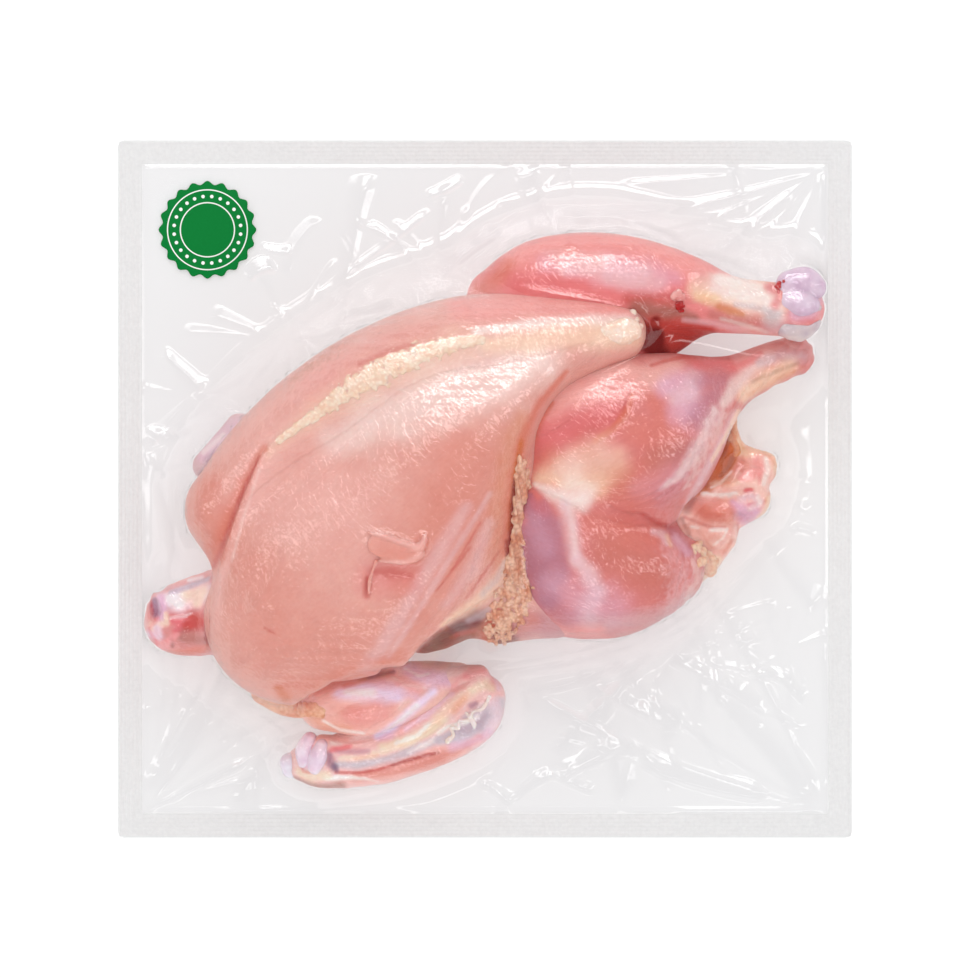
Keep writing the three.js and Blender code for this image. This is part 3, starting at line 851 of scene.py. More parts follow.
far_leg, far_leg_points = muscle("far_leg", FAR_LEG_FORMS, 7, 1.0, far_leg_relief)
paint(far_leg, far_leg_points, srgb(238, 144, 142), [
    ("pink", 0.9, 0.9, [(14, 98, 6), (32, 104, 7), (56, 105, 6), (76, 99, 5), (92, 92, 5)]),
    # a painted highlight along the top of the drumstick
    ("white", 0.6, 0.9, [(34, 92, 3), (48, 92, 5), (66, 90, 4)]),
    ("coral", 0.6, 0.9, [(-8, 80, 4), (4, 88, 4), (10, 95, 3)]),
    ("rosy", 0.5, 0.9, [(14, 86, 5), (34, 86, 6), (60, 85, 7), (78, 84, 5)]),
    ("lavender", 0.4, 0.9, [(26, 95, 4), (46, 93, 5), (66, 92, 5), (80, 89, 3)]),
    ("silver", 0.5, 0.9, [(52, 88, 3), (62, 86, 4), (72, 86, 4)]),
    ("pale", 0.4, 0.9, [(30, 97, 4), (46, 95, 4)]),
    # the ridge under the drumstick and the gap below it: the meat's deep red, darkened with painted
    # shade
    ("red", 0.65, 0.8, [(60, 80, 2), (70, 80, 2), (80, 78, 3)]),
    ("brown", 0.75, 0.8, [(64, 75, 4), (76, 74, 4), (88, 72, 2)]),
    ("red", 1.0, 0.4, [(60, 66, 6), (74, 64, 9), (86, 64, 7), (96, 66, 3)]),
    ("blood", 1.0, 0.5, [(62, 69, 5), (68, 64, 6), (74, 58, 4), (72, 71, 2)]),
    ("red", 0.55, 0.8, [(72, 70, 1.6), (84, 69, 2), (94, 67, 2)]),
    ("silver", 0.5, 0.9, [(84, 71.5, 1), (98, 70, 1.4), (112, 67, 1.4)]),
    ("cream", 0.85, 0.7, [(90, 84, 4), (98, 83, 5), (112, 81, 7), (122, 82, 7)]),
    ("white", 0.95, 0.7, [(98, 86, 5), (108, 84, 6.4), (118, 81, 6), (122, 76, 5)]),
    ("pale", 0.6, 0.9, [(92, 88, 4), (102, 86, 3)]),
    ("fat", 0.7, 0.8, [(90, 81, 2), (97, 80, 2.4)]),
    ("orange", 0.8, 0.8, [(99, 77, 1.6), (104, 75.5, 1.8), (109, 74, 1.2)]),
    ("white", 0.6, 0.8, [(100, 72, 0.7), (110, 69.6, 0.8), (120, 66.5, 0.7)]),
    ("grey", 0.5, 0.8, [(106, 78, 1), (114, 77, 1.4), (124, 74, 2)]),
    ("brown", 0.35, 0.9, [(96, 74, 2), (108, 71, 2.4), (120, 71, 3)]),
    ("rosy", 0.7, 0.8, [(121, 86, 2.4), (126, 83, 3), (123, 78, 2)]),
    ("lavender", 0.9, 0.7, [(132, 74, 3), (138, 76, 4), (140, 82, 4)]),
    ("grey", 0.5, 0.9, [(122, 70, 4), (130, 66, 4), (138, 64, 3)]),
    ("pale", 0.5, 0.9, [(110, 67, 2), (122, 64, 2.4), (134, 62, 3)]),
    ("white", 0.9, 0.7, [(100, 88, 3), (107, 86, 4.4), (114, 84, 3)]),
])
far_leg.data.materials.append(flesh_material("far_leg_meat", 22.0, 0.9, 0.2))

# -------------------------------------------------------------------------- rump and tail
# The rump and the cut tail, two ragged lobes of skinless meat and orange fat.

RUMP_FORMS = [
    # red muscle between the thigh and the tail, and the pink fold below it
    [(86, -8, 20, 12, 18), (99, -8.6, 19, 7, 16)],
    [(86, -19, 18, 8, 17), (99, -19, 17, 6.4, 14), (104, -19, 15, 4, 11)],
    # upper lobe, middle lobes and the ragged lower corner
    [
        (110, 13, 18, 2.6, 8), (115, 13.6, 21, 3.6, 11), (121.6, 12, 20, 3.8, 12),
        (121.8, 8, 19, 3.8, 11),
    ],
    [(96, 0, 19, 2.4, 12), (106, 2, 21, 3.4, 14), (114, 3, 21, 6, 14), (118, -2, 19, 4.6, 13)],
    [(108, -7, 19, 4.4, 13), (116, -7, 18, 5.4, 13), (111, -12, 16, 3.6, 11)],
    [(103, -23, 14, 4.4, 11), (96, -31, 13, 5.6, 11), (91, -37, 12, 4.4, 9)],
    # orange fat at the bottom of the hollow between the leg and the upper lobe
    [
        (88, 4, 17, 10, 12), (98, 9, 16, 9, 11), (105, 12, 15, 8, 12), (106.6, 25, 18, 2.6, 11),
        (107, 31, 19, 2, 11),
    ],
    [(100, 4, 15, 6, 12), (110, 7, 16, 7, 13), (115, 8, 16, 5, 12)],
]


def rump_relief(points):
    """Ragged lumps, and the folds and pits between the lobes of the tail."""
    out = 0.3 * lumps(points, 9, 11) + 0.3 * lumps(points, 4, 12)
    fold = stroke(
        points, [(85, -12, 0.8), (93, -15.4, 1), (101, -16.6, 1), (106, -15, 0.8)], 0.9, 0.1,
    )
    cleft = stroke(points, [(90, -3, 0.8), (98, -4, 0.9), (107, -4, 0.9)], 0.9, 0.1)
    pits = stroke(points, [(112, -0.6, 1), (114, -0.4, 0.8)], 0.9, 0.1)
    pits = pits + stroke(points, [(113, -6.8, 0.8), (115.4, -6.2, 0.8)], 0.9, 0.1)
    across = 0.5 * points[:, 0] + 0.86 * points[:, 1]
    folds = stroke(points, [(96, -24, 4), (104, -21, 4)], 0.8, 0.1)
    waves = 0.3 * folds * np.sin(1.6 * across + 2 * lumps(points, 9, 5))
    return out + waves - 0.4 * fold - 0.5 * cleft - 0.6 * pits


rump, rump_points = muscle("rump", RUMP_FORMS, 6.5, 0.7, rump_relief)
paint(rump, rump_points, srgb(252, 204, 192), [
    # the hollow
    ("fat", 0.9, 0.6, [(106, 32, 3), (107, 24, 3), (110, 17, 2.4)]),
    ("orange", 0.8, 0.8, [(107, 31, 2), (106, 23, 2)]),
    (
        "amber", 1.0, 0.5,
        [(90, -1.6, 2), (95, 2, 3.6), (100, 8, 5.6), (104, 15, 4.6), (106, 22, 2.4)],
    ),
    ("amber", 1.0, 0.6, [(96, 3, 2), (101, 8.6, 3.4), (105, 13, 2.4)]),
    ("brown", 0.5, 0.8, [(106, 13, 1.2), (104.6, 9.6, 1.2), (101, 5.6, 0.8)]),
    ("orange", 0.6, 0.8, [(108, 26, 2), (108.6, 18, 2)]),
    ("fat", 0.5, 0.8, [(108.6, 22, 0.8), (109.6, 17, 1)]),
    ("cream", 0.7, 0.8, [(108, 20, 1), (110, 14.6, 1)]),
    ("white", 0.8, 0.8, [(96.6, 0.6, 0.5), (101, 2.6, 0.6), (105.4, 7.4, 0.5)]),
    # upper lobe
    ("cream", 0.9, 0.8, [(112, 15, 2), (117, 17.6, 2), (125, 15, 2), (126, 7, 2)]),
    ("orange", 0.35, 0.9, [(117, 18, 1), (126, 10, 1.2), (123, -9, 1)]),
    ("red", 0.5, 0.8, [(107.4, 8, 1), (109.4, 11, 1.6), (110, 8, 1.2)]),
    ("coral", 0.5, 0.8, [(110, 13, 1.4), (112, 10, 1.4)]),
    ("pink", 0.8, 0.8, [(116, 12, 2), (118, 8, 2.4), (113, 6, 2.4), (109, 4.6, 1.2)]),
    ("rosy", 0.4, 0.8, [(117.6, 6, 0.8), (117.4, 2.6, 0.8)]),
    ("white", 0.7, 0.8, [(120, 13, 1), (121, 8, 1), (119, 2, 1)]),
    # middle lobes
    ("cream", 0.6, 0.8, [(97, 2, 1), (104, 3, 1.8), (107, 3, 1.6)]),
    ("white", 0.9, 0.8, [(93, -2.2, 0.7), (99, -2.6, 0.9), (108, -2, 0.9)], 0.8, 2),
    # painted shade in the pits, in rosy red
    ("rosy", 0.9, 0.8, [(111.6, -0.6, 1), (113.6, -0.4, 0.8)]),
    ("rosy", 0.7, 0.8, [(112.6, -6.8, 0.7), (115.6, -6, 0.7)]),
    ("coral", 0.6, 0.8, [(119.4, -6, 0.6), (122, -2, 0.6)]),
    ("lavender", 1.0, 0.8, [(106, -6, 1.6), (109, -9, 3.4), (112, -12, 3.4), (115, -10, 3)]),
    ("purple", 0.25, 0.9, [(109, -12, 2), (113, -13, 2)]),
    ("silver", 0.9, 0.8, [(109, -4.6, 1.4), (114, -3, 1.8), (117.4, -5.6, 2), (113, -9, 0.8)]),
    ("white", 0.7, 0.8, [(116.6, -3.6, 0.8), (117.6, -6, 0.8)]),
    ("cream", 0.8, 0.8, [(121.6, -4, 1.4), (121.6, -9, 1.6), (118, -12, 1.4)]),
    # the red muscle and the folds below
    ("coral", 0.8, 0.7, [(88, -6, 4), (95, -9.6, 5), (103, -11, 4)]),
    ("pink", 0.4, 0.8, [(94, -5, 2), (100, -7, 2.4), (104, -9, 2)], 0.8, 2),
    ("red", 0.3, 0.8, [(88, -6, 3), (94, -11, 3), (101, -13, 2)]),
    ("blood", 0.45, 0.9, [(86, -9, 1.6), (88.6, -4.6, 1.4)]),
    # painted shade along the fold, a red line
    ("red", 0.5, 0.8, [(85, -12, 0.7), (92, -14.8, 0.8), (97, -16.6, 0.8), (103, -16.4, 0.5)]),
    ("blood", 0.4, 0.8, [(86.6, -17, 0.8), (88, -22, 0.8), (84, -12.6, 0.8)]),
    ("salmon", 0.5, 0.9, [(88, -16, 2.4), (94, -20, 3), (100, -21, 2)]),
    # painted highlights: glints on the fold and a glare line just below it
    ("white", 0.8, 0.8, [(88, -16, 0.6), (91, -16.6, 0.6)]),
    ("white", 0.9, 0.8, [(96.4, -17.6, 0.7), (103.6, -17.4, 0.7)]),
    ("pale", 0.7, 0.8, [(107, -15, 1.2), (105, -19, 1.4), (101, -23, 1.2)]),
    ("white", 0.6, 0.8, [(104, -17, 0.5), (102, -21, 0.6), (98, -24, 0.5)]),
    ("coral", 0.5, 0.8, [(106, -22, 0.8), (103, -27, 1)]),
    ("red", 0.35, 0.8, [(108.6, -15, 0.6), (109.4, -19, 0.6)]),
    ("white", 0.8, 0.7, [(87, -23, 2), (89, -26, 2.4), (93, -28, 1.6)]),
    ("salmon", 0.4, 0.8, [(96, -26, 2), (102, -28, 2)]),
    ("cream", 1.0, 0.7, [(91, -31, 2.4), (96, -33, 4), (100, -31, 2.4), (94, -38, 2)]),
    ("orange", 0.3, 0.8, [(96, -32, 2), (97.6, -34, 1.4)]),
    ("amber", 0.7, 0.8, [(81, -15.6, 0.8), (83, -17.6, 1)]),
])
rump.data.materials.append(flesh_material("rump_meat", 14.0, 1.0, 0.15))

# ----------------------------------------------------------------------------------- neck
# The neck stump, cut off short: a ring of red muscle round pale lavender cartilage and the
# open end of the bone.

NECK_FORMS = [
    [
        (-96, -50, 27, 18, 19), (-116, -53, 25, 18, 19), (-130, -56, 23, 15.5, 16),
        (-136, -57, 22, 11, 12),
    ],
    [(-112, -43, 33, 6.4, 9), (-130, -47.5, 31, 6.4, 9), (-139, -50, 28, 5.4, 8)],
]


def neck_relief(points):
    """The hollow end of the bone, and clefts between the neck's muscles."""
    out = 0.5 * lumps(points, 8, 14) + 0.3 * lumps(points, 3.5, 15)
    hollow = stroke(points, [(-142, -48.5, 2), (-141, -52, 2.4)], 0.7, 0.1)
    cleft = stroke(
        points, [(-141, -43.6, 0.8), (-134, -42.6, 0.9), (-126, -39.6, 0.9), (-118, -36.6, 0.8)],
        0.9, 0.1,
    )
    ridge = stroke(points, [(-134, -54.4, 0.9), (-128, -53.6, 1), (-122, -51.6, 0.9)], 0.9, 0.1)
    notch = stroke(
        points, [(-138, -64, 0.9), (-134, -60, 0.9), (-126, -60.4, 0.9), (-119, -61, 1)], 0.9, 0.1,
    )
    return out - 2.4 * hollow - 0.9 * cleft - 0.9 * ridge - 0.7 * notch


neck, neck_points = muscle("neck", NECK_FORMS, 3, 0.8, neck_relief)
paint(neck, neck_points, srgb(228, 152, 144), [
    # above the bone
    ("pale", 0.8, 0.8, [(-138, -40, 3), (-128, -36, 4), (-118, -34, 3)]),
    ("white", 0.6, 0.8, [(-138, -39.6, 0.6), (-132, -36.6, 0.7)]),
    ("white", 0.8, 0.8, [(-127, -39, 0.7), (-121, -38, 0.9)]),
    ("coral", 0.6, 0.8, [(-140, -43.6, 0.7), (-136, -43.4, 0.9), (-133, -42.8, 0.6)]),
    # the bone and its open end
    ("silver", 0.9, 0.7, [(-138, -48, 4), (-130, -47, 4.6), (-120, -44, 4.6)]),
    ("white", 0.95, 0.7, [(-135, -47, 2.4), (-130, -48, 3.4), (-127, -45, 2)]),
    ("cream", 0.85, 0.8, [(-126, -45, 3), (-120, -43.6, 3), (-122, -48, 2.4)]),
    ("grey", 0.8, 0.8, [(-134, -44, 1), (-126, -41.4, 1.2), (-118, -38.4, 1)]),
    ("plum", 0.85, 0.5, [(-141.4, -49, 2.4), (-140.6, -52.6, 2.2)]),
    ("lavender", 0.8, 0.8, [(-138, -46.6, 1.6), (-137, -52, 1.6), (-138.4, -57, 1.6)]),
    ("red", 0.6, 0.8, [(-143, -48, 0.6), (-142, -53.6, 0.6)]),
    # muscle below it
    ("rosy", 0.8, 0.8, [(-133, -56, 2), (-128, -57, 3), (-131, -60, 2)]),
    ("red", 0.9, 0.7, [(-125, -54, 2), (-122, -56, 3.4), (-126, -58, 2.4)]),
    ("blood", 0.85, 0.8, [(-117, -58, 1.6), (-117, -65, 2.4)]),
    ("brown", 0.5, 0.8, [(-128, -63, 3), (-122, -64, 3)]),
    ("blood", 0.5, 0.8, [(-133.4, -64, 0.9), (-133.6, -67, 0.9)]),
    ("white", 0.5, 0.8, [(-134, -54.8, 0.5), (-128, -54.2, 0.6), (-125, -52.8, 0.5)]),
    # the left and lower rim
    ("pale", 0.8, 0.8, [(-145, -46, 1.6), (-146, -54, 1.6), (-145, -62, 1.6)]),
    ("cream", 0.85, 0.8, [(-136, -53, 1), (-135.6, -57, 1.4), (-142, -58.6, 2)]),
    ("silver", 0.9, 0.8, [(-140, -59.6, 1.8), (-139, -63, 1.8), (-144, -62, 1.6)]),
    ("rosy", 0.4, 0.8, [(-140, -55.6, 1), (-144, -60, 0.6), (-140, -66, 0.8)]),
    ("pink", 0.7, 0.8, [(-137, -66, 2), (-131, -62, 1), (-139, -69, 2)]),
    (
        "coral", 0.7, 0.8,
        [(-142, -70, 1.6), (-138, -71.6, 1.6), (-126, -69.4, 1.6), (-117, -67.6, 1.4)],
    ),
], (1.05, 1.1, 1.2))
neck.data.materials.append(flesh_material("neck_meat", 12.0, 1.0, 0.1))

# ---------------------------------------------------------------------------------- wings
# The near wing folded double along the body, upper arm above, forearm below, and the
# stub of the far wing past the far fillet. Thin muscle under a silvery sheath.

UPPER_WING_FORMS = [
    [(-68, -91, 22, 13, 15), (-50, -91, 22, 15, 17), (-28, -86, 20, 12, 14), (-12, -83, 15, 8, 10)],
]
FOREARM_FORMS = [
    # wrist and lower muscle
    [
        (-78, -119, 11, 8, 9), (-68, -120, 13, 9.5, 12), (-45, -118, 13, 9.5, 12),
        (-22, -109, 13, 11, 13), (-6, -99, 14, 12, 14), (-1, -90, 15, 10, 12),
    ],
    # the bone under the pale ridge
    [
        (-70, -113, 17, 7, 9), (-56, -113, 18, 6.5, 9), (-40, -109, 18, 7, 10),
        (-22, -97, 19, 7.5, 10.5), (-6, -85, 19, 8, 10),
    ],
    # the muscle beside the upper arm
    [
        (-62, -108, 17, 3, 5), (-48, -104.6, 19, 4.6, 6), (-35, -95, 21, 6.4, 7),
        (-21, -84, 22, 6.6, 7), (-3, -80.6, 20, 4.8, 6),
    ],
]
FAR_WING_FORMS = [[(-119, 10, 26, 6.5, 9), (-105, 26, 26, 6.5, 9)]]


def wing_relief(points):
    """The ridge of the forearm, and seams between the wing's muscles."""
    out = 0.3 * lumps(points, 9, 17) + 0.15 * lumps(points, 4, 18)
    ridge = stroke(
        points, [(-44, -111, 2), (-32, -108, 2.4), (-20, -98, 2.4), (-8, -88, 2.4)], 0.8, 0.1,
    )
    seam = stroke(
        points,
        [(-58, -108.5, 0.8), (-44, -106, 1), (-32, -98, 1), (-20, -89, 1), (-8, -82.5, 0.8)], 0.9,
        0.1,
    )
    split = stroke(
        points, [(-63, -121.5, 0.9), (-48, -121, 1), (-34, -117, 1), (-22, -113, 0.8)], 0.9, 0.1,
    )
    pit = stroke(points, [(-66, -115, 1.4), (-65, -120, 1.6)], 0.8, 0.1)
    edge = stroke(
        points, [(-50, -103.4, 0.8), (-41, -99, 1), (-33, -91.6, 1), (-24, -84.6, 0.8)], 0.9, 0.1,
    )
    return out + 0.7 * ridge - 0.6 * seam - 0.7 * edge - 0.4 * split - 1.2 * pit


upper_wing, upper_wing_points = muscle("upper_wing", UPPER_WING_FORMS, 5, 0.7, wing_relief)
paint(upper_wing, upper_wing_points, srgb(248, 192, 180), [
    ("salmon", 0.4, 0.9, [(-72, -94, 6), (-64, -98, 7), (-54, -101, 6)]),
    ("orange", 0.45, 0.9, [(-76, -94, 3), (-70, -101, 3), (-58, -103.5, 2)]),
    ("coral", 0.3, 0.9, [(-66, -93, 1.4), (-58, -93.4, 2), (-50, -93.4, 2), (-40, -91, 2)], 0.8, 3),
    ("salmon", 0.25, 0.9, [(-60, -98, 3), (-48, -98, 3), (-40, -95, 2)]),
    # the silvery sheath, in a bluish white that also carries a painted highlight
    (
        "mist", 0.85, 0.8,
        [(-46, -106, 1.4), (-38, -100.6, 1.8), (-30, -93.6, 2.2), (-22, -86.6, 1.8)],
    ),
    ("white", 0.7, 0.9, [(-42, -103.4, 0.8), (-36, -99, 1.2), (-29, -92.6, 1.2)]),
    # the silvery sheath along the upper arm, with its painted highlight
    ("mist", 0.9, 0.8, [(-62, -86.5, 3), (-50, -85.8, 4), (-38, -87.5, 3.6)]),
    ("lavender", 0.5, 0.8, [(-50, -82, 2), (-40, -84, 2.4), (-30, -88, 2)]),
    ("white", 0.7, 0.9, [(-59, -86.5, 1.4), (-48, -87, 1.8)]),
    ("rosy", 0.3, 0.9, [(-56, -97, 4), (-44, -96, 5)]),
    ("lavender", 0.8, 0.8, [(-32, -78, 3), (-24, -81, 4), (-14, -82, 3)]),
    ("white", 0.5, 0.8, [(-34, -77, 0.6), (-28, -80, 0.7), (-24, -79, 0.6)]),
    ("white", 0.5, 0.8, [(-40, -80, 0.6), (-34, -83.5, 0.6), (-26, -85, 0.6)]),
    ("pink", 0.7, 0.8, [(-36, -82, 2), (-28, -85, 2)]),
    # painted shade in the crease under the breast's edge, dark red fading to coral
    ("red", 0.6, 0.9, [(-60, -84, 1), (-50, -81, 1.6), (-40, -79, 1.6)]),
    ("blood", 0.6, 0.9, [(-54, -81.6, 0.7), (-46, -79.6, 0.9), (-39, -78, 0.8)]),
    ("coral", 0.7, 0.9, [(-60, -82, 1.6), (-72, -86, 1.6), (-52, -80.5, 1.6)]),
    ("white", 0.6, 0.8, [(-69, -99, 0.6), (-62, -103, 0.8), (-52, -104.5, 0.7)]),
], (1.08, 1.14, 1.18))
forearm, forearm_points = muscle("forearm", FOREARM_FORMS, 2.5, 0.7, wing_relief)
paint(forearm, forearm_points, srgb(248, 196, 190), [
    # the muscle beside the upper arm
    ("pink", 0.6, 0.8, [(-48, -103, 3), (-38, -94, 4), (-26, -84, 4)]),
    # its silvery sheath, in a bluish white that also carries a painted highlight
    ("mist", 0.9, 0.7, [(-46, -106, 2), (-39, -101, 2.4), (-31, -92.6, 2.6), (-22, -84.6, 2)]),
    ("lavender", 0.5, 0.8, [(-44, -107, 1.6), (-40, -106, 1.4)]),
    ("white", 0.6, 0.8, [(-44, -104, 0.7), (-36, -97, 0.9), (-29, -90, 0.7)]),
    ("rosy", 0.5, 0.9, [(-24, -89, 1.4), (-16, -84, 1.8), (-8, -81, 1.6)]),
    ("pale", 0.8, 0.8, [(-22, -86, 1.2), (-14, -82.5, 1.4)]),
    # between it and the ridge
    ("pink", 0.6, 0.9, [(-36, -104, 2.4), (-27, -97, 2.6), (-17, -89, 2.6), (-9, -84, 3)]),
    # the sheath's bluish white with its painted highlight
    ("mist", 0.4, 0.9, [(-34, -103, 1), (-24, -96, 1.2), (-14, -88, 1)], 0.8, 2),
    # the ridge and the bone below the wrist
    (
        "cream", 0.75, 0.8,
        [(-44, -110.5, 2), (-34, -109, 2.8), (-26, -105, 2.6), (-18.6, -99.4, 2.2)],
    ),
    ("fat", 0.3, 0.8, [(-36, -109.6, 1), (-27, -106, 1.2), (-20, -101, 1)]),
    ("cream", 0.5, 0.8, [(-20, -98, 2.4), (-13, -91.5, 2.4), (-6, -87, 2.4)]),
    ("orange", 0.2, 0.9, [(-20, -99, 1.6), (-13, -93, 1.8), (-7, -88, 1.4)]),
    ("white", 0.6, 0.8, [(-38, -109, 0.8), (-30, -106, 1), (-24, -101, 0.8)], 0.6, 2),
    ("cream", 0.55, 0.8, [(-62, -116, 1.4), (-52, -115.6, 2), (-42, -112.6, 2)], 0.6, 3),
    ("orange", 0.25, 0.9, [(-56, -116, 1), (-46, -114.4, 1.2)]),
    ("purple", 0.6, 0.9, [(-64, -112.4, 1), (-56, -112.6, 1.2), (-50, -112.4, 1)]),
    (
        "grey", 0.8, 0.8,
        [(-64, -118.6, 1.4), (-54, -118.6, 1.8), (-40, -116, 2), (-28, -111, 2), (-20, -107, 1.6)],
    ),
    # the lower muscle
    ("salmon", 0.8, 0.9, [(-56, -124.6, 2.4), (-38, -122, 4), (-20, -116, 4), (-8, -110.6, 2)]),
    ("red", 0.18, 0.9, [(-50, -122, 2), (-34, -119.5, 3), (-20, -115, 3)]),
    (
        "red", 0.7, 0.8,
        [
            (-64, -121.8, 0.7), (-54, -122, 0.7), (-46, -120.6, 0.6), (-34, -116.8, 0.7),
            (-22, -113.5, 0.7),
        ],
    ),
    ("blood", 0.3, 0.8, [(-40, -118.6, 0.6), (-28, -115, 0.7), (-20, -113.4, 0.6)]),
    (
        "white", 0.8, 0.8,
        [(-68, -124.4, 1.2), (-58, -124, 1), (-52, -124.6, 0.7), (-46, -126, 0.6)], 0.5, 3,
    ),
    ("white", 0.6, 0.8, [(-22, -107.6, 1.2), (-26, -110, 1), (-33, -113, 0.7)], 0.5, 3),
    ("pale", 0.6, 0.9, [(-62, -127, 2), (-44, -126, 2), (-28, -122.6, 1.6)]),
    # wrist
    ("lavender", 0.8, 0.8, [(-76, -108, 3), (-78, -114, 3), (-77, -120, 2)]),
    ("pale", 0.85, 0.8, [(-74, -106, 2), (-68, -106, 2), (-60, -107.5, 1.6)]),
    ("white", 0.5, 0.8, [(-66, -109, 1), (-62, -110, 1)]),
    ("plum", 0.7, 0.8, [(-67, -113.6, 1.4), (-66.4, -118, 1.8), (-63.6, -121, 1)]),
    ("navy", 0.5, 0.8, [(-64.5, -119.6, 1.4)]),
    ("rosy", 0.7, 0.8, [(-66, -112, 1), (-58, -110.5, 1)]),
    ("brown", 0.7, 0.8, [(-82, -126, 2), (-72, -129, 2.4), (-62, -128, 2)]),
    ("cream", 0.7, 0.7, [(-80, -122, 2), (-74, -124, 2.4), (-68, -123, 2)]),
    ("red", 0.5, 0.8, [(-80, -118, 0.6), (-78, -121.5, 0.7), (-75, -122, 0.6)]),
    # elbow
    ("grey", 0.9, 0.6, [(-20, -108, 2), (-12, -105, 4), (-2, -100, 6), (6, -93, 4)]),
    ("plum", 0.3, 0.9, [(-10, -103, 2), (-3, -101, 2.4), (1, -97, 2)], 0.7, 3),
    ("white", 0.7, 0.8, [(-20, -105, 0.8), (-16, -102, 0.9), (-8, -100, 0.9), (-3, -97.6, 0.9)]),
    ("silver", 0.7, 0.8, [(4, -92, 2.4), (6, -98, 2.4), (2, -103, 2)]),
    ("plum", 0.6, 0.8, [(-6, -93, 1.4), (-4, -92, 1)]),
    ("coral", 0.5, 0.8, [(-2, -107, 1.6), (-8, -110, 1.2)]),
    ("lavender", 0.6, 0.9, [(-14, -111, 2), (-6, -109, 2), (2, -105, 2)]),
    ("pale", 0.8, 0.8, [(-10, -83, 2), (-2, -83, 3), (3, -84, 2)]),
    ("cream", 0.7, 0.9, [(-6, -86, 1.6), (0, -84, 2), (3, -86, 1.4)]),
    ("rosy", 0.35, 0.9, [(-8, -79, 1.6), (-2, -78.4, 2.4), (4, -79, 2.4)], 0.8, 3),
    ("silver", 0.8, 0.8, [(5, -82, 1.4), (6, -86, 1.2)]),
    ("orange", 0.4, 0.9, [(-13, -95, 1.4), (-9, -90, 1.4)]),
], (1.08, 1.18, 1.22))
far_wing, far_wing_points = muscle("far_wing", FAR_WING_FORMS, 5, 0.7, wing_relief)
paint(far_wing, far_wing_points, srgb(222, 180, 184), [
    ("lavender", 0.8, 0.8, [(-118, 15, 4), (-106, 26, 4)]),
    ("plum", 0.6, 0.8, [(-117, 12, 2.4), (-112, 16, 2), (-120, 6, 2)]),
    ("white", 0.5, 0.8, [(-120, 16, 1.2), (-112, 23, 1.2)]),
])
wing_meat = flesh_material("wing_meat", 20.0, 0.8, 0.2, 0.26)
for piece in (upper_wing, forearm, far_wing):
    piece.data.materials.append(wing_meat)

# --------------------------------------------------------------------- fat along the keel
# Grainy pale fat left along the keel, on the line between the fillets, and the cut end of
# the keel's own cartilage, a cream cap with a torn yellow tip.


def lay_on(path, lift=0.0):
    """Stations on the bird's surface: rows are (x, y, half width, half height)."""
    rows = np.array(path, dtype=float)
    height = top_height(rows[:, 0], rows[:, 1]) + lift
    return np.column_stack([rows[:, :2], height, rows[:, 2:]])


def laid_sleeve(path, lift=0.0, gap=2.5):
    """Close-set stations of a strip or a cord that lies on the bird."""
    return fill_stations(lay_on(path, lift), gap)


def scatter(rng, path, count, size, sink=0.3, flat=0.75):
    """Grains of fat strewn along a strip. The strip's rows are (x, y, half width)."""
    route = np.array(path, dtype=float)
    runs = np.hypot(*np.diff(route[:, :2], axis=0).T)
    along = np.concatenate([[0], np.cumsum(runs)])
    t = rng.uniform(0, along[-1], count)
    x, y, half = (np.interp(t, along, route[:, n]) for n in range(3))
    angle = rng.uniform(0, 2 * math.pi, count)
    reach = half * np.sqrt(rng.uniform(0, 1, count))
    x = x + reach * np.cos(angle)
    y = y + reach * np.sin(angle)
    radius = rng.uniform(size[0], size[1], count)
    height = top_height(x, y) - sink * radius
    return np.column_stack([x, y, height, radius, radius * flat])


def fat_material(name, light, deep, stain):
    """Soft fat: cream with yellower and pinker patches, fine grained and a little greasy."""
    material, tree, surface = new_material(name)
    place = object_place(tree)
    patches = spread(tree, noise(tree, place, 160.0, 3.0), 0.4, 0.65)
    grains = add_node(tree, "ShaderNodeTexVoronoi", {"Vector": place, "Scale": 620.0})
    from_grain = grains.outputs["Distance"]
    colour = mix_colour(tree, patches, light, deep)
    dress(tree, surface, {
        "Base Color": mix_colour(
            tree, spread(tree, from_grain, 0.35, 0.8, 0.0, 0.4), colour, stain,
        ),
        "Roughness": 0.42,
        "Subsurface Weight": 0.3,
        "Subsurface Radius": (1.0, 0.6, 0.35),
        "Subsurface Scale": GLOW_DEPTH,
        "Specular IOR Level": 0.3,
        "Normal": bump(tree, 0.6, 0.0004, from_grain, invert=True),
    })
    return material


def fat_piece(name, sleeves, blend, step, tints, relief=None, finish=None):
    """A piece of fat or of grainy gristle, in its light, deep and stained tints."""
    piece, _ = soft_piece(name, sleeves, blend, step, relief)
    piece.data.materials.append(fat_material(finish or name, *[srgb(*tint) for tint in tints]))


rng = np.random.default_rng(5)
KEEL_STRIP = [
    (-1, 62, 0.8), (-10, 60.5, 2.2), (-20, 58.5, 3.4), (-32, 54, 4.6), (-44, 48, 5.0),
    (-56, 41.5, 3.6), (-66, 34, 2.2), (-76, 27, 1.3), (-86, 20, 0.5),
]
keel_grains = scatter(rng, KEEL_STRIP, 640, (0.7, 1.6), 0.1, 0.45)
keel_flakes = scatter(
    rng, [(x, y, 1.5 * half) for x, y, half in KEEL_STRIP], 260, (0.5, 1.2), 0.1, 0.35,
)
fat_piece(
    "keel_fat", [keel_grains, keel_flakes], 0.5, 0.5,
    [(252, 224, 204), (248, 207, 182), (238, 172, 142)],
)

KEEL_TIP = [(46, 65, 3.2, 1.0), (53, 65.5, 4.6, 1.8), (58, 66, 5.6, 3.0), (61, 66.5, 4.8, 3.6)]
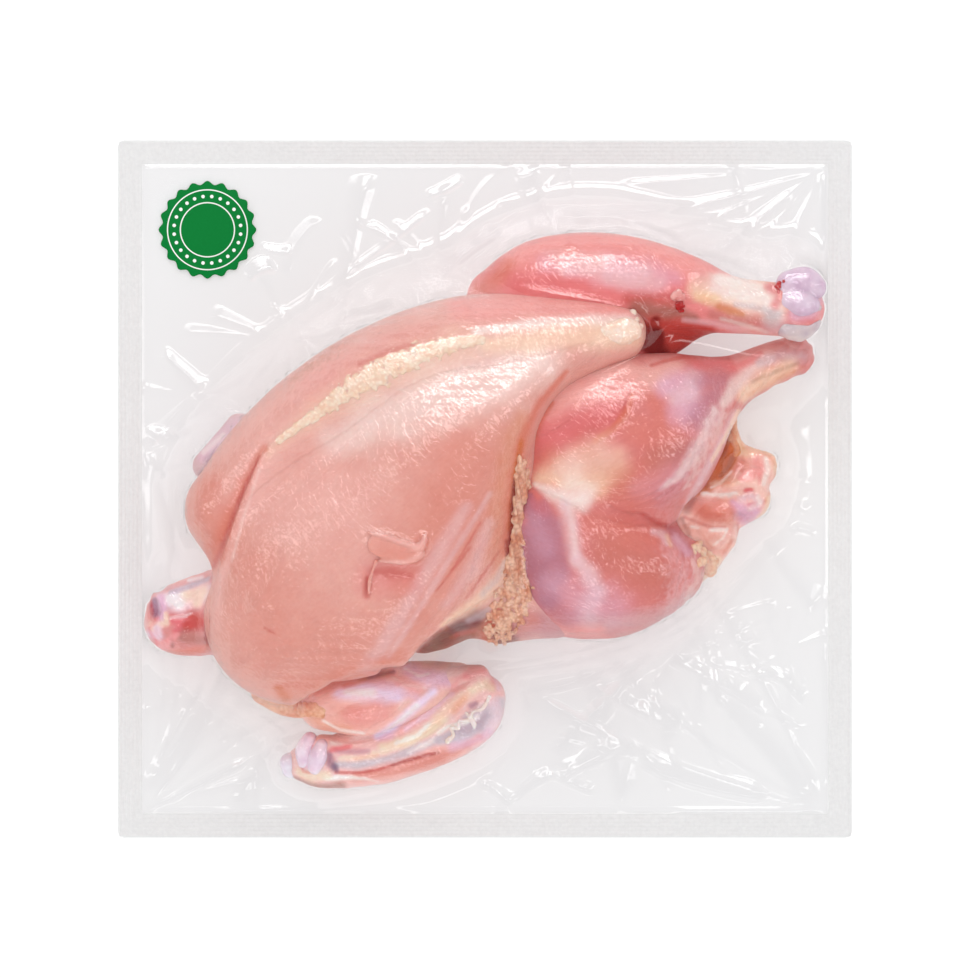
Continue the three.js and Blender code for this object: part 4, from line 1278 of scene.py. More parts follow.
# Torn bits round the cap's end.
KEEL_BITS = [(62, 74, 1.8, 2.0), (63.5, 71, 1.6, 2.2), (65.5, 68.5, 1.3, 1.8), (60, 61, 1.4, 1.6)]
fat_piece(
    "keel_tip", [laid_sleeve(KEEL_TIP, -1.6), lay_on(KEEL_BITS, -2)], 1.5, 0.6,
    [(252, 228, 214), (250, 214, 194), (244, 196, 168)],
    lambda points: 0.3 * lumps(points, 3, 2), "keel_cartilage",
)

# --------------------------------------------------------------------- fat in the creases
# Wrinkled yellow fat and torn skin in the fold between breast and thigh and below it, at
# the tail, under the wing's root and along the lower edge of the fillet.

CREASE_STRIP = [
    (14.6, 12, 0.7), (15, 6, 2.4), (15.4, 1, 3.0), (13.6, -7, 1.7), (13.2, -18, 1.8),
    (13, -27, 3.0),
    (13.4, -34, 4.6), (13, -42, 7.2), (11.2, -50, 8.4), (8, -56, 8), (4.6, -61.6, 5),
]
crease_grains = scatter(rng, CREASE_STRIP, 720, (0.8, 1.9), 0.3, 0.75)


def crease_wrinkles(points):
    """Wrinkles that run down the strip, as in loose skin."""
    return 0.5 * np.sin(1.9 * points[:, 0] + 0.5 * points[:, 1] + 2.6 * lumps(points, 6, 3))


fat_piece(
    "crease_fat", [crease_grains], 1.0, 0.6,
    [(242, 196, 170), (224, 154, 124), (158, 70, 44)], crease_wrinkles,
)

COLLAR_STRIP = [(-102, -90, 1.5), (-94, -95, 2.5), (-84, -97, 3), (-76, -93, 3), (-70, -95, 2)]
# The solid fat under the collar's grains.
COLLAR_FORM = [
    (-96, -88, 16, 5, 5), (-86, -92, 17, 6, 6), (-76, -92, 18, 7, 6), (-68, -94, 20, 5, 5),
]
collar_grains = scatter(rng, COLLAR_STRIP, 150, (1.0, 2.0), 0.4, 0.5)
fat_piece(
    "collar_fat", [fill_stations(COLLAR_FORM), collar_grains], 1.2, 0.7,
    [(246, 188, 154), (236, 160, 122), (210, 116, 78)],
)

TAIL_STRIP = [(90, -24, 2.5), (94, -31, 3.5), (98, -34, 3), (95, -29, 2.5)]
AMBER_STRIP = [(105, 25, 1.5), (108, 19, 1.6), (109, 15, 1.4)]
tail_grains = scatter(rng, TAIL_STRIP, 70, (1.0, 2.2), 0.4)
amber_grains = scatter(rng, AMBER_STRIP, 16, (1.0, 2.0), 0.5, 0.6)
fat_piece(
    "tail_fat", [tail_grains], 0.8, 0.6, [(240, 204, 176), (234, 180, 146), (214, 134, 104)]
)
fat_piece(
    "amber_fat", [amber_grains], 1.6, 0.7, [(232, 158, 108), (212, 120, 66), (180, 84, 44)]
)

# ---------------------------------------------------------------------- loose breast flap
# A thin flap of muscle torn up from the near fillet: rolled along its upper edge, curled at
# its right end and open below.

FLAP_EDGE = [
    (-48, -18, 0.6, 0.6), (-42, -19.5, 1.0, 1.0), (-36, -21.5, 1.1, 1.2), (-30, -23.5, 1.2, 1.4),
    (-27, -23.5, 1.4, 1.6),
]
FLAP_CURL = [
    (-30, -25, 1.6, 1.6), (-26.6, -24, 1.7, 2.2), (-25.2, -21.6, 1.4, 2.6),
    (-24.8, -19.6, 0.9, 2.4),
]
FLAP_RIM = [
    (-26, -26.5, 1.3, 1.5), (-28.5, -29, 1.2, 1.3), (-33, -30.2, 1.0, 1.1), (-38, -30, 0.9, 0.9),
    (-43, -29.5, 0.8, 0.7),
]
FLAP_SHEET = [
    (-44, -23, 4.5, 0.8), (-38, -25, 5.2, 1.0), (-32, -26.3, 4.6, 1.3), (-28.5, -26, 3.0, 1.4),
]
FLAP_STRAND = [
    (-45, -30, 0.8, 0.9), (-46.5, -34, 0.6, 0.8), (-47.6, -38, 0.9, 1.0), (-48, -43, 0.6, 0.8),
]
flap_parts = (FLAP_EDGE, FLAP_CURL, FLAP_RIM, FLAP_SHEET, FLAP_STRAND)
flap_sleeves = [laid_sleeve(part, 0.5, 0.8) for part in flap_parts]
flap, flap_points = soft_piece("breast_flap", flap_sleeves, 1.0, 0.4)
paint(flap, flap_points, srgb(236, 168, 156), [
    ("pale", 0.8, 0.8, [(-46, -18, 1), (-36, -21, 1.4), (-28, -24, 1.6), (-25, -20, 1.4)]),
    ("salmon", 0.5, 0.9, [(-42, -26, 4), (-32, -28, 3)]),
    ("pale", 0.6, 0.8, [(-26, -27, 1), (-33, -30.4, 1), (-43, -30, 0.8)]),
])
flap.data.materials.append(breast_meat)

# ----------------------------------------------------------------- cartilage and knuckles
# Bare joint ends: two knuckles at the far hock, and the wrist of the folded wing with a pale
# ball beside it. Smooth and lavender-white.


def gristle_material(name, light, deep):
    """Smooth translucent cartilage with faint cloudy patches."""
    material, tree, surface = new_material(name)
    cloud = noise(tree, object_place(tree), 140.0)
    dress(tree, surface, {
        "Base Color": mix_colour(tree, spread(tree, cloud, 0.35, 0.65), light, deep),
        "Roughness": 0.22,
        "Subsurface Weight": 0.4,
        "Subsurface Radius": (1.0, 0.7, 0.7),
        "Subsurface Scale": GLOW_DEPTH,
        "Normal": bump(tree, 0.2, 0.0004, cloud),
    })
    return material


lavender = gristle_material("lavender_gristle", srgb(228, 206, 222), srgb(212, 180, 204))
pale_lavender = gristle_material("pale_gristle", srgb(242, 236, 246), srgb(234, 220, 234))
wrist_gristle = gristle_material("wrist_gristle", srgb(250, 232, 244), srgb(234, 206, 226))
grey_gristle = gristle_material("grey_gristle", srgb(222, 206, 204), srgb(200, 180, 190))


def gristle(name, forms, material, blend=0.8, bumps=0.1):
    """A bare joint end: knobs of cartilage run together."""
    piece, _ = soft_piece(
        name, [fill_stations(form, 1.2) for form in forms], blend, 0.6,
        lambda points: bumps * lumps(points, 3, 21),
    )
    piece.data.materials.append(material)


gristle("far_hock_knuckles", [
    [(130, 87, 39, 6.2, 6.5), (136, 88, 39, 6.6, 7.0), (140, 86, 38, 5.4, 6.0)],
    [(129.5, 79.5, 41, 5.4, 5.6), (134, 78.5, 41.5, 5.8, 6.0), (138, 78, 39, 4.8, 5.4)],
], lavender, 0.6)
gristle("far_hock_side", [
    [(128, 70, 37, 5, 6), (134, 68.5, 36, 5.5, 6), (139, 71, 35, 4.5, 6)],
    [(141, 77, 34, 3.2, 8)],
], grey_gristle, 1.5, bumps=0.5)
gristle("wrist_knuckles", [
    [(-75.6, -107.8, 18.5, 3.2, 5.4), (-77.8, -112.6, 18.5, 4.0, 6), (-77.6, -118, 17, 3.4, 5.4)],
    [(-70, -110.8, 21.5, 3.4, 6), (-71.4, -115, 22, 4.2, 6.4), (-73, -119.8, 20, 3.6, 6)],
], wrist_gristle)
gristle(
    "wing_ball", [[(-84.4, -118.6, 12, 4.6, 6.0)], [(-84, -121.4, 11, 4.0, 5.0)]], pale_lavender,
)

# ---------------------------------------------------------------------------- wing tendon
# The wing's loose white tendon, cut when the wing was dressed. A limp cord that lies in
# squiggles over the grey end of the elbow, with one short branch.

SQUIGGLE = [
    (2, -89, 0.8, 0.8), (-1, -94, 0.9, 0.9), (-5, -95.5, 0.7, 0.8), (-7, -99, 1.0, 0.9),
    (-11, -99.5, 0.7, 0.8),
    (-11.5, -102.5, 1.0, 0.9), (-14.5, -102.5, 0.8, 0.8), (-13.6, -105.6, 0.9, 0.9),
    (-16, -108, 1.4, 1.0),
]
BRANCH = [(-8, -96, 0.7, 0.7), (-5, -100, 1.2, 1.0), (-4.6, -102, 0.9, 0.8)]
fat_piece(
    "wing_tendon", [laid_sleeve(SQUIGGLE, 0.2, 0.8), laid_sleeve(BRANCH, 0.1, 0.8)], 0.5, 0.4,
    [(252, 240, 236), (246, 226, 218), (230, 196, 186)],
)

# ---------------------------------------------------------------------------- blood spots
# Small dark clots where the hock was cut and where the leg was parted, and the paler, half
# washed-out clot round the first of them.

clots = [
    scatter(rng, [(81, 79, 1.6), (83, 76, 1.8)], 18, (0.6, 1.2), 0.3),
    scatter(rng, [(124, 84, 1.6), (126, 89, 1.2)], 14, (0.6, 1.2), 0.2),
]
blood, _ = soft_piece("blood_spots", clots, 0.4, 0.5)
blood.data.materials.append(gristle_material("clotted_blood", srgb(216, 60, 58), srgb(176, 24, 26)))
rim = scatter(rng, [(80, 83, 1.6), (84, 81, 1.4), (78, 80, 1.0)], 18, (0.7, 1.5), 0.1)
clot_rim, _ = soft_piece("clot_rim", [rim], 0.5, 0.5)
clot_rim.data.materials.append(
    gristle_material("pale_clot", srgb(240, 178, 170), srgb(228, 140, 136))
)

# ----------------------------------------------------------------------------- pouch film
# Clear barrier film. The top sheet is drawn down over the bird, clings to it, spans the
# hollows, and throws sharp folds out to the seal. The bottom sheet lies on the table.

POUCH_LENGTH = 320.0
POUCH_WIDTH = 304.0
SEAL_WIDTH = 10.5
SEAL_HEIGHT = 0.8
WEB_HEIGHT = 0.8
FILLET_RADIUS = 8.0
FILM_STANDOFF = 0.35
BOTTOM_HEIGHT = 0.15
# How far a crease may press into the meat, and how hard the relaxing overshoots.
CREASE_SINK = 0.45
OVERSHOOT = 1.75
# Where the sticker is, and the flat ground round it that stays clear of the bird.
LABEL_PLACE = (-121.0, 113.0)
LABEL_GROUND = 27
# Cells across the film, a multiple of four so that it can be solved coarse to fine.
FILM_CELLS = (296, 280)


def film_axes():
    """The grid lines of the film, from seal to seal."""
    return [
        np.linspace(-size / 2 + SEAL_WIDTH, size / 2 - SEAL_WIDTH, count + 1)
        for size, count in zip((POUCH_LENGTH, POUCH_WIDTH), FILM_CELLS)
    ]


def bird_under_film(xs, ys):
    """The highest part of the bird within each film cell."""
    x, y = np.meshgrid(xs, ys, indexing="ij")
    near = [
        top_height(x + i * SKY_STEP, y + j * SKY_STEP) for i in (-1, 0, 1) for j in (-1, 0, 1)
    ]
    tops = np.sort(np.stack(near), axis=0)
    return 0.5 * (tops[-1] + tops[4])


def relax(height, floor, load, sweeps):
    """Stretches a clamped sheet over the floor, pressed down by load, every other cell first."""
    i, j = np.indices(height.shape)
    inner = (slice(1, -1), slice(1, -1))
    for _ in range(sweeps):
        for colour in (0, 1):
            around = height[2:, 1:-1] + height[:-2, 1:-1] + height[1:-1, 2:] + height[1:-1, :-2]
            target = around / 4 - load
            moved = height[inner] + OVERSHOOT * (target - height[inner])
            turn = ((i + j)[inner] % 2) == colour
            height[inner] = np.where(turn, np.maximum(moved, floor[inner]), height[inner])
    return height


def film_heights(xs, ys):
    """The heights of the drawn-down film, solved coarse to fine, and of what is under it."""
    floor = np.maximum(bird_under_film(xs, ys) + FILM_STANDOFF, WEB_HEIGHT)
    from_label = np.hypot(xs[:, None] - LABEL_PLACE[0], ys[None, :] - LABEL_PLACE[1])
    label = from_label < LABEL_GROUND
    floor[label] = WEB_HEIGHT
    height = None
    for skip, sweeps in ((4, 300), (2, 200), (1, 120)):
        part = floor[::skip, ::skip]
        spacing = (xs[1] - xs[0]) * skip
        if height is None:
            start = part.copy()
        else:
            start = np.kron(height, np.ones((2, 2)))[: part.shape[0], : part.shape[1]]
            start = np.maximum(start, part)
        start[[0, -1], :] = WEB_HEIGHT
        start[:, [0, -1]] = WEB_HEIGHT
        held = np.where(label[::skip, ::skip], WEB_HEIGHT, start)
        height = relax(held, part, spacing**2 / (4 * FILLET_RADIUS), sweeps)
    return height, floor


def throw_fold(height, xs, ys, start, end, wide, slope, lean=0.0, bend=0.0, flare=0.0):
    """Adds one fold with two flat flanks. It is bowed by bend and widens towards its end."""
    start, end = np.array(start, float), np.array(end, float)
    run = end - start
    length = np.hypot(*run)
    low = np.minimum(start, end) - wide - abs(bend)
    high = np.maximum(start, end) + wide + abs(bend)
    cut_x = slice(*np.searchsorted(xs, (low[0], high[0])))
    cut_y = slice(*np.searchsorted(ys, (low[1], high[1])))
    dx = xs[cut_x, None] - start[0]
    dy = ys[None, cut_y] - start[1]
    t = np.clip((dx * run[0] + dy * run[1]) / length**2, 0, 1)
    bow = 4 * t * (1 - t)
    girth = wide * (1 - flare + flare * t)
    off = ((dx * run[1] - dy * run[0]) / length - bend * bow) / girth
    off = np.where(off > lean, (off - lean) / (1 - lean), (lean - off) / (1 + lean))
    ends = np.clip(2.5 * bow, 0, 1)
    height[cut_x, cut_y] += slope * girth * ends * np.clip(1 - off, 0, 1)


xs, ys = film_axes()
film_height, film_floor = film_heights(xs, ys)
smooth_height = film_height.copy()
free_span = np.clip((film_height - film_floor) / 2.5, 0, 1)
web = np.clip(1 - (film_floor - WEB_HEIGHT) / 2, 0, 1)
film_free = np.maximum(free_span, web)

# Broad folds from where the bird holds the film up, out to the seal.
FOLDS = [
    ((-100, -70), (-146, -134), 8, 0.3), ((-84, -104), (-108, -140), 7, 0.28),
    ((40, -74), (62, -136), 8, 0.3), ((82, -70), (146, -138), 9, 0.34),
    ((122, -20), (147, -52), 7, 0.3), ((142, 96), (148, 138), 6, 0.3),
    ((30, 112), (18, 140), 7, 0.3), ((-62, 74), (-52, 138), 7, 0.3),
    ((-132, -34), (-148, 16), 6, 0.3), ((74, -70), (30, -118), 7, 0.3),
]
rng = np.random.default_rng(23)
for start, end, wide, slope in FOLDS:
    throw_fold(film_height, xs, ys, start, end, wide, slope, 0.3, rng.uniform(-4, 4), 0.5)


def clear_of_label(middle, length):
    """Whether a crease keeps off the sticker."""
    gap = math.hypot(middle[0] - LABEL_PLACE[0], middle[1] - LABEL_PLACE[1])
    return gap > 23 + 0.35 * length


def fan(corner, aims, lengths, wide):
    """Creases that all start at one point and widen away from it."""
    for aim in aims:
        length = rng.uniform(*lengths)
        end = (corner[0] + length * math.cos(aim), corner[1] + length * math.sin(aim))
        middle = ((corner[0] + end[0]) / 2, (corner[1] + end[1]) / 2)
        if clear_of_label(middle, length):
            throw_fold(
                film_height, xs, ys, corner, end, rng.uniform(*wide), rng.uniform(0.12, 0.42),
                rng.uniform(-0.7, 0.7), rng.uniform(-0.05, 0.05) * length, 0.75,
            )


# Creases gathered into the four corners of the pouch.
PLEATS = (((-148, 140), -45), ((148, 140), -135), ((148, -140), 135), ((-148, -140), 45))
for corner, facing in PLEATS:
    aims = facing + np.linspace(-42, 42, 9) + rng.normal(0, 3.0, 9)
    fan(corner, np.radians(aims), (50, 140), (3.0, 7.0))
# Stars where the film is pinched, each with the number and reach of its creases.
STARS = [
    (-86, 64, 10, 56), (74, -70, 11, 70), (99, -56, 9, 52), (127, 0, 8, 34), (115, 111, 8, 40),
    (66, -112, 7, 40), (-118, -91, 9, 46), (-96, -104, 7, 38), (-20, 98, 7, 42), (20, 124, 6, 34),
    (-128, 40, 7, 44), (132, -70, 7, 36), (10, -116, 7, 40), (108, -92, 7, 40), (-134, -20, 6, 26),
]
for x, y, count, reach in STARS:
    aims = np.linspace(0, 2 * math.pi, count, endpoint=False) + rng.normal(0, 0.3, count)
    fan((x, y), aims, (0.4 * reach, reach), (2.0, 4.6))
# Creases lying beside the lower edge of the thigh and of the tail.
THIGH_CREASES = (
    ((-2, -76), (60, -62)), ((6, -79), (66, -65)), ((16, -88), (62, -73)), ((26, -88), (72, -70)),
)
for start, end in THIGH_CREASES:
    throw_fold(film_height, xs, ys, start, end, 2.2, 0.6, 0.5, 2)
for x, y in ((0, 0), (4, -3), (7, -8)):
    throw_fold(film_height, xs, ys, (72 + x, -62 + y), (122, -22 + y), 2.0, 0.35, 0.2, 3)
# Broad flat facets that turn one whole flank to the light: their ends and width.
FACETS = [
    ((80, -73), (123, -96), 5), ((47, -83), (86, -101), 6.5), ((32, -124), (62, -108), 6),
    ((67, -118), (123, -132), 6),
    ((-2, -127), (12, -137), 3.5), ((12, -136), (30, -123), 3.5), ((28, -123), (48, -131), 3.5),
    ((120, -78), (140, -92), 4),
    ((-148, -139), (-104, -118), 3), ((-144, -120), (-122, -82), 3), ((-67, 90), (-24, 122), 2.2),
    ((-20, 92), (6, 113), 6),
    ((-62, 74), (-38, 79), 4), ((-104, 92), (-92, 98), 5), ((-98, 106), (-84, 104), 3),
    ((90, 100), (118, 92), 4),
    ((-140, 60), (-122, 44), 4), ((-26, 128), (-10, 136), 3), ((50, 118), (84, 106), 3),
    ((-96, -96), (-84, -104), 3),
]
for start, end, wide in FACETS:
    throw_fold(film_height, xs, ys, start, end, wide, 0.62, 0.5, rng.uniform(-2, 2), 0.3)
# Scattered creases over the rest of the web.
for _ in range(36):
    angle = rng.uniform(0, 2 * math.pi)
    middle = np.array(
        [math.cos(angle) * rng.uniform(95, 150), math.sin(angle) * rng.uniform(85, 140)]
    )
    middle = np.clip(middle, (-138, -130), (138, 130))
    turn = math.atan2(middle[1], middle[0]) + rng.normal(0, 0.6)
    length = rng.uniform(10, 50)
    reach = length / 2 * np.array([math.cos(turn), math.sin(turn)])
    if clear_of_label(middle, length):
        throw_fold(
            film_height, xs, ys, middle - reach, middle + reach, rng.uniform(1.5, 4.5),
            rng.uniform(0.12, 0.4), rng.uniform(-0.7, 0.7), rng.uniform(-0.12, 0.12) * length,
        )
# A bead where the pocket rises off the seal.
from_seal = np.minimum(
    np.minimum(xs - xs[0], xs[-1] - xs)[:, None], np.minimum(ys - ys[0], ys[-1] - ys)[None, :]
)
film_height += 0.5 * np.exp(-(((from_seal - 1.8) / 1.1) ** 2))
film_height = np.maximum(film_height, film_floor - CREASE_SINK)
film_creased = np.clip(np.abs(film_height - smooth_height) / 2, 0, 1)
film_height[[0, -1], :] = WEB_HEIGHT
film_height[:, [0, -1]] = WEB_HEIGHT


def quads_between(n):
    """The quads between neighbouring rows and columns of a grid of vertex numbers."""
    ring = (n[:-1, :-1], n[1:, :-1], n[1:, 1:], n[:-1, 1:])
    return np.stack([corner.ravel() for corner in ring], axis=1)


def film_sheet(name, xs, ys, height):
    """A sheet of film over the given grid lines."""
    x, y = np.meshgrid(xs, ys, indexing="ij")
    points = np.stack([x.ravel(), y.ravel(), height.ravel()], axis=1)
    sheet = make_mesh(name, points, quads_between(np.arange(x.size).reshape(x.shape)))
    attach(sheet, "root")
    return sheet


film_top = film_sheet("film_top", xs, ys, film_height)
set_mask(film_top, "free", film_free.ravel())
set_mask(film_top, "creased", film_creased.ravel())
bottom_height = np.full(film_height[::4, ::4].shape, BOTTOM_HEIGHT)
film_bottom = film_sheet("film_bottom", xs[::4], ys[::4], bottom_height)


def film_material(name, tint, roughness, cling, slack):
    """Clear film: mostly see-through, glossy, crinkled finely where it clings to the meat."""
    material, tree, surface = new_material(name)
    tree.nodes.remove(surface)
    place = object_place(tree)
    # The wrinkles of the clinging film run slantwise, twice as long as they are wide.
    slant = add_node(
        tree, "ShaderNodeMapping",
        {"Vector": place, "Rotation": (0, 0, math.radians(-52)), "Scale": (2.4, 1, 1)},
        vector_type="TEXTURE",
    ).outputs[0]
    crinkle = noise(tree, slant, 540.0, 1.0, distortion=0.9)
    ripple = noise(tree, place, 45.0, distortion=0.5)
    free = mask(tree, "free")
    clinging = calculate(tree, "MULTIPLY_ADD", free, slack - cling, cling)
    height = calculate(tree, "MULTIPLY", crinkle, clinging)
    height = calculate(tree, "MULTIPLY_ADD", ripple, 0.13, height)
    normal = bump(tree, 1.0, 0.001, height)
    # Along the creases the see-through colour is darkened: the film lies double there, and painted
    # shade beside the folds.
    folded = calculate(tree, "MULTIPLY", mask(tree, "creased"), 0.3)
    seen_through = mix_colour(tree, folded, tint, (0.86, 0.86, 0.87, 1), "MULTIPLY")
    clear = add_node(tree, "ShaderNodeBsdfTransparent", {"Color": seen_through})
    gloss = add_node(tree, "ShaderNodeBsdfGlossy", {"Roughness": roughness, "Normal": normal})
    fresnel = add_node(tree, "ShaderNodeFresnel", {"IOR": 1.6, "Normal": normal})
    both = add_node(
        tree, "ShaderNodeMixShader",
        {0: fresnel.outputs[0], 1: clear.outputs[0], 2: gloss.outputs[0]},
    )
    give(tree, tree.nodes["Material Output"].inputs["Surface"], both.outputs[0])
    return material


film_top.data.materials.append(
    film_material("film", (0.965, 0.965, 0.968, 1), 0.05, 0.42, 0.015)
)
film_bottom.data.materials.append(
    film_material("bottom_film", (0.925, 0.925, 0.93, 1), 0.2, 0.0, 0.0)
)
for sheet in (film_top, film_bottom):
    # Clear film casts no shadow worth the name, and soft light goes straight through it.
    sheet.visible_shadow = False
    sheet.visible_diffuse = False
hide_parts("vacuum_pack")

# -------------------------------------------------------------------------- sealed border
# The two films heat sealed together round all four sides by a knurled bar, which leaves
# rows of fine dimples along each side. Cut square with barely rounded corners.

KNURL_ROWS = 6
KNURL_PITCH = 0.9
KNURL_BASE = 0.5
KNURL_HEIGHT = 0.14
EDGE_HEIGHT = 0.25
SIDE_STEPS = 120
OUTER_RADIUS = 2.0
# Each side runs along one axis with its outer edge facing another, round the pouch.
SIDES = [((1, 0), (0, -1)), ((0, 1), (1, 0)), ((-1, 0), (0, 1)), ((0, -1), (-1, 0))]


def border_mesh(name):
    """A frame of four mitred strips, with ridges along them where the bar pressed."""
    across = np.linspace(0, SEAL_WIDTH, 6 * KNURL_ROWS + 1)
    inner = (POUCH_LENGTH / 2 - SEAL_WIDTH, POUCH_WIDTH / 2 - SEAL_WIDTH)
    columns = []
    for side, (along, outward) in enumerate(SIDES):
        half, other = inner[side % 2], inner[1 - side % 2]
        for t in np.linspace(-1, 1, SIDE_STEPS, endpoint=False):
            run = t * (half + across)
            columns.append(np.outer(run, along) + np.outer(other + across, outward))
    flat = np.array(columns)
    core = np.array([POUCH_LENGTH / 2, POUCH_WIDTH / 2]) - OUTER_RADIUS
    over = np.maximum(np.abs(flat) - core, 0)
    far = np.hypot(over[..., 0], over[..., 1])
    pull = OUTER_RADIUS / np.maximum(far, OUTER_RADIUS)
    flat = np.sign(flat) * (np.minimum(np.abs(flat), core) + over * pull[..., None])
    rows = 0.5 - 0.5 * np.cos(across * 2 * math.pi * KNURL_ROWS / SEAL_WIDTH)
    height = KNURL_BASE + KNURL_HEIGHT * rows
    height[0], height[-1] = SEAL_HEIGHT, EDGE_HEIGHT
    height = np.broadcast_to(height, flat.shape[:2])
    points = np.concatenate([flat, height[..., None]], axis=2).reshape(-1, 3)
    n = np.arange(len(points)).reshape(flat.shape[:2])
    n = np.vstack([n, n[:1]])
    ring = (n[:-1, :-1], n[:-1, 1:], n[1:, 1:], n[1:, :-1])
    return make_mesh(name, points, np.stack([c.ravel() for c in ring], axis=1)[:, ::-1])


seal_border = border_mesh("seal_border")
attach(seal_border, "root")
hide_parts("vacuum_pack")

seal_film, tree, surface = new_material("frosted_seal")
place = object_place(tree)
axes = add_node(tree, "ShaderNodeSeparateXYZ", {0: place})
turns = 2 * math.pi / (KNURL_PITCH * MM)
waves = []
for way in ("ADD", "SUBTRACT"):
    lean = calculate(tree, way, axes.outputs["X"], axes.outputs["Y"])
    waves.append(calculate(tree, "SINE", calculate(tree, "MULTIPLY", lean, turns)))
diamonds = calculate(tree, "MULTIPLY", *waves)
dimples = calculate(tree, "MULTIPLY_ADD", noise(tree, place, 700.0), 3.0, diamonds)
whiter = calculate(tree, "MULTIPLY_ADD", dimples, 0.25, 0.1)
dress(tree, surface, {
    "Base Color": mix_colour(tree, whiter, srgb(230, 230, 231), srgb(252, 252, 252)),
    "Roughness": 0.45,
    "Alpha": 0.8,
    "Normal": bump(tree, 0.6, 0.0002, dimples),
})
seal_border.data.materials.append(seal_film)

# -------------------------------------------------------------------------- round sticker
# A round green paper sticker with a scalloped edge on the film, printed with two thin
# white rings and dots between them, and nothing else.

LABEL_RADIUS = 20.5
SCALLOPS = 20
SCALLOP_DEPTH = 0.8
RING_RADII = (17.4, 11.8)
RING_WIDTH = 0.38
DOTS = 24
DOT_RADIUS = 0.7
INK_EDGE = 0.12


def sticker_mesh(name):
    """A thin scalloped disc where the solid label is, as rings from the middle out."""
    low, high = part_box("round_label")
    base, top = low.z / MM, high.z / MM
    turns = np.linspace(0, 2 * math.pi, 12 * SCALLOPS, endpoint=False)
    rim = LABEL_RADIUS + SCALLOP_DEPTH * np.cos(SCALLOPS * turns)
    shells = [(0.001, top), (0.35, top), (0.7, top), (0.97, top), (1.0, top - 0.06), (1.0, base)]
    points = []
    for share, height in shells:
        x = LABEL_PLACE[0] + share * rim * np.cos(turns)
        y = LABEL_PLACE[1] + share * rim * np.sin(turns)
        points.append(np.stack([x, y, np.full(turns.shape, height)], axis=1))
    n = np.arange(len(shells) * len(turns)).reshape(len(shells), -1)
    return make_mesh(name, np.vstack(points), quads_between(np.hstack([n, n[:, :1]])))


sticker = sticker_mesh("round_sticker")
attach(sticker, "root")
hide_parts("round_label")

print_paper, tree, surface = new_material("sticker_print")
place = object_place(tree)
middle = (LABEL_PLACE[0] * MM, LABEL_PLACE[1] * MM, 0)
arm = add_node(tree, "ShaderNodeVectorMath", {0: place, 1: middle}, operation="SUBTRACT")
axes = add_node(tree, "ShaderNodeSeparateXYZ", {0: arm.outputs[0]})
x, y = axes.outputs["X"], axes.outputs["Y"]


def slant_length(a, b):
    """The length of the slanting side over two square ones."""
    squares = [calculate(tree, "MULTIPLY", side, side) for side in (a, b)]
    return calculate(tree, "SQRT", calculate(tree, "ADD", *squares))


def printed(distance, half_width):
    """1 where a printed line of this half width covers, with a soft ink edge."""
    return spread(tree, distance, half_width * MM, (half_width + INK_EDGE) * MM, 1.0, 0.0)


radius = slant_length(x, y)


def off_ring(ring_radius):
    """How far a point is from a ring round the middle."""
    return calculate(tree, "ABSOLUTE", calculate(tree, "SUBTRACT", radius, ring_radius * MM))


white = calculate(tree, "MAXIMUM", *[printed(off_ring(r), RING_WIDTH / 2) for r in RING_RADII])
step = 2 * math.pi / DOTS
angle = calculate(tree, "ARCTAN2", y, x)
swing = calculate(tree, "SUBTRACT", calculate(tree, "WRAP", angle, step, 0.0), step / 2)
dots_radius = sum(RING_RADII) / 2
round_off = calculate(tree, "MULTIPLY", swing, dots_radius * MM)
from_dot = slant_length(round_off, off_ring(dots_radius))
white = calculate(tree, "MAXIMUM", white, printed(from_dot, DOT_RADIUS))
green = mix_colour(tree, noise(tree, place, 900.0), srgb(0, 120, 50), srgb(4, 127, 55))
dress(tree, surface, {
    "Base Color": mix_colour(tree, white, green, srgb(246, 248, 246)),
    "Roughness": 0.5,
    "Specular IOR Level": 0.05,
})
sticker.data.materials.append(print_paper)

# --------------------------------------------------------------------------- surroundings
# A plain pale table that the pack lies on, soft boxes and strips of light round it, and
# the camera straight above.

floor = bpy.data.objects.new("floor", bpy.data.meshes.new("floor"))
bpy.context.scene.collection.objects.link(floor)
floor.data.from_pydata([(-4, -4, 0), (4, -4, 0), (4, 4, 0), (-4, 4, 0)], [], [(0, 1, 2, 3)])
table_material, tree, surface = new_material("table")
dress(tree, surface, {
    "Base Color": (0.6, 0.6, 0.6, 1),
    "Emission Color": (1, 1, 1, 1),
    "Emission Strength": 0.42,
    "Roughness": 0.9,
    "Specular IOR Level": 0.0,
})
floor.data.materials.append(table_material)

world = bpy.data.worlds.new("studio")
bpy.context.scene.world = world
world.use_nodes = True
tree = world.node_tree
# The studio is bright all round for the fill, and dim in what the wet film mirrors.
mirrored = add_node(tree, "ShaderNodeLightPath").outputs["Is Glossy Ray"]
strength = calculate(tree, "MULTIPLY_ADD", mirrored, -0.72, 0.88)
dress(tree, tree.nodes["Background"], {"Color": (1, 1, 1, 1), "Strength": strength})


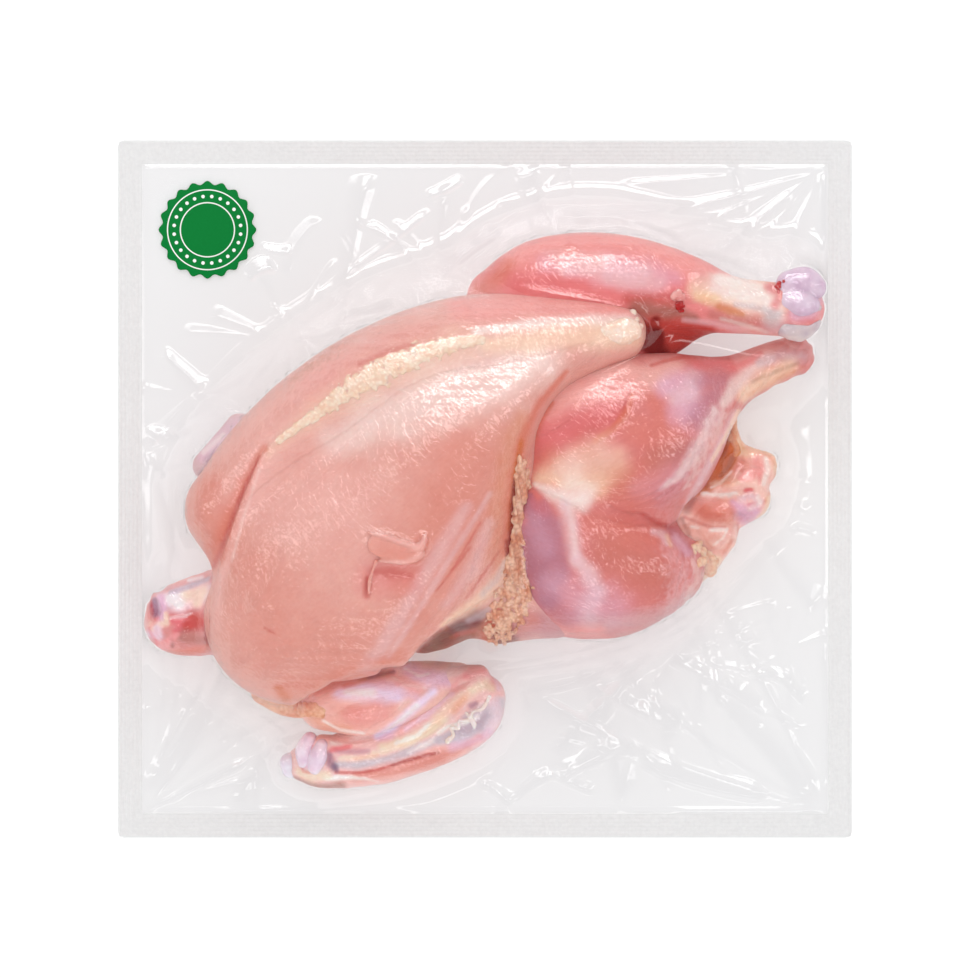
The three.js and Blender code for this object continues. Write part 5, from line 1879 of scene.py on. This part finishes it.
def fade_edges(light):
    """Makes a softbox brightest in the middle, falling away softly to its four edges."""
    light.use_nodes = True
    tree = light.node_tree
    place = add_node(tree, "ShaderNodeNewGeometry").outputs["Parametric"]
    axes = add_node(tree, "ShaderNodeSeparateXYZ", {0: place})
    # The brighter middle makes up for the light lost at the edges.
    glow = 2.2
    for axis in ("X", "Y"):
        value = axes.outputs[axis]
        hill = calculate(tree, "MULTIPLY", value, calculate(tree, "SUBTRACT", 1.0, value))
        glow = calculate(tree, "MULTIPLY", calculate(tree, "MULTIPLY", hill, 4.0), glow)
    give(tree, tree.nodes["Emission"].inputs["Strength"], glow)


def add_softbox(name, size, place, energy, unseen_by=None):
    """A rectangular softbox aimed at the pouch, which may be kept out of gloss or of fill."""
    lamp = bpy.data.objects.new(name, bpy.data.lights.new(name, "AREA"))
    fade_edges(lamp.data)
    lamp.data.shape = "RECTANGLE"
    lamp.data.size, lamp.data.size_y = size
    lamp.data.energy = energy
    lamp.location = place
    lamp.rotation_euler = lamp.location.to_track_quat("Z", "Y").to_euler()
    lamp.visible_glossy = unseen_by != "glossy"
    lamp.visible_diffuse = unseen_by != "diffuse"
    bpy.context.scene.collection.objects.link(lamp)


add_softbox("fill", (1.2, 1.2), (0.0, 0.1, 2.1), 4.5, "glossy")
add_softbox("far_fill", (1.2, 0.8), (0.0, 1.2, 1.0), 3.6, "glossy")
add_softbox("near_fill", (1.2, 0.6), (0.1, -1.2, 1.0), 2.2, "glossy")
add_softbox("main", (1.7, 0.6), (-0.05, 1.1, 1.1), 16, "diffuse")
add_softbox("overhead", (1.3, 0.4), (-0.05, 0.6, 1.5), 4, "diffuse")
add_softbox("left_strip", (0.3, 1.1), (-1.2, 0.1, 0.9), 1.8, "diffuse")
add_softbox("right_strip", (0.3, 1.1), (1.1, 0.0, 1.0), 2.4, "diffuse")
add_softbox("near_strip", (1.1, 0.25), (0.1, -1.0, 1.0), 1.4, "diffuse")

camera = bpy.data.objects.new("camera", bpy.data.cameras.new("camera"))
camera.data.lens = 135
camera.data.sensor_width = 36
camera.location = (0, 0, 1.6)
bpy.context.scene.collection.objects.link(camera)
bpy.context.scene.camera = camera
bpy.context.scene.view_settings.view_transform = "Standard"
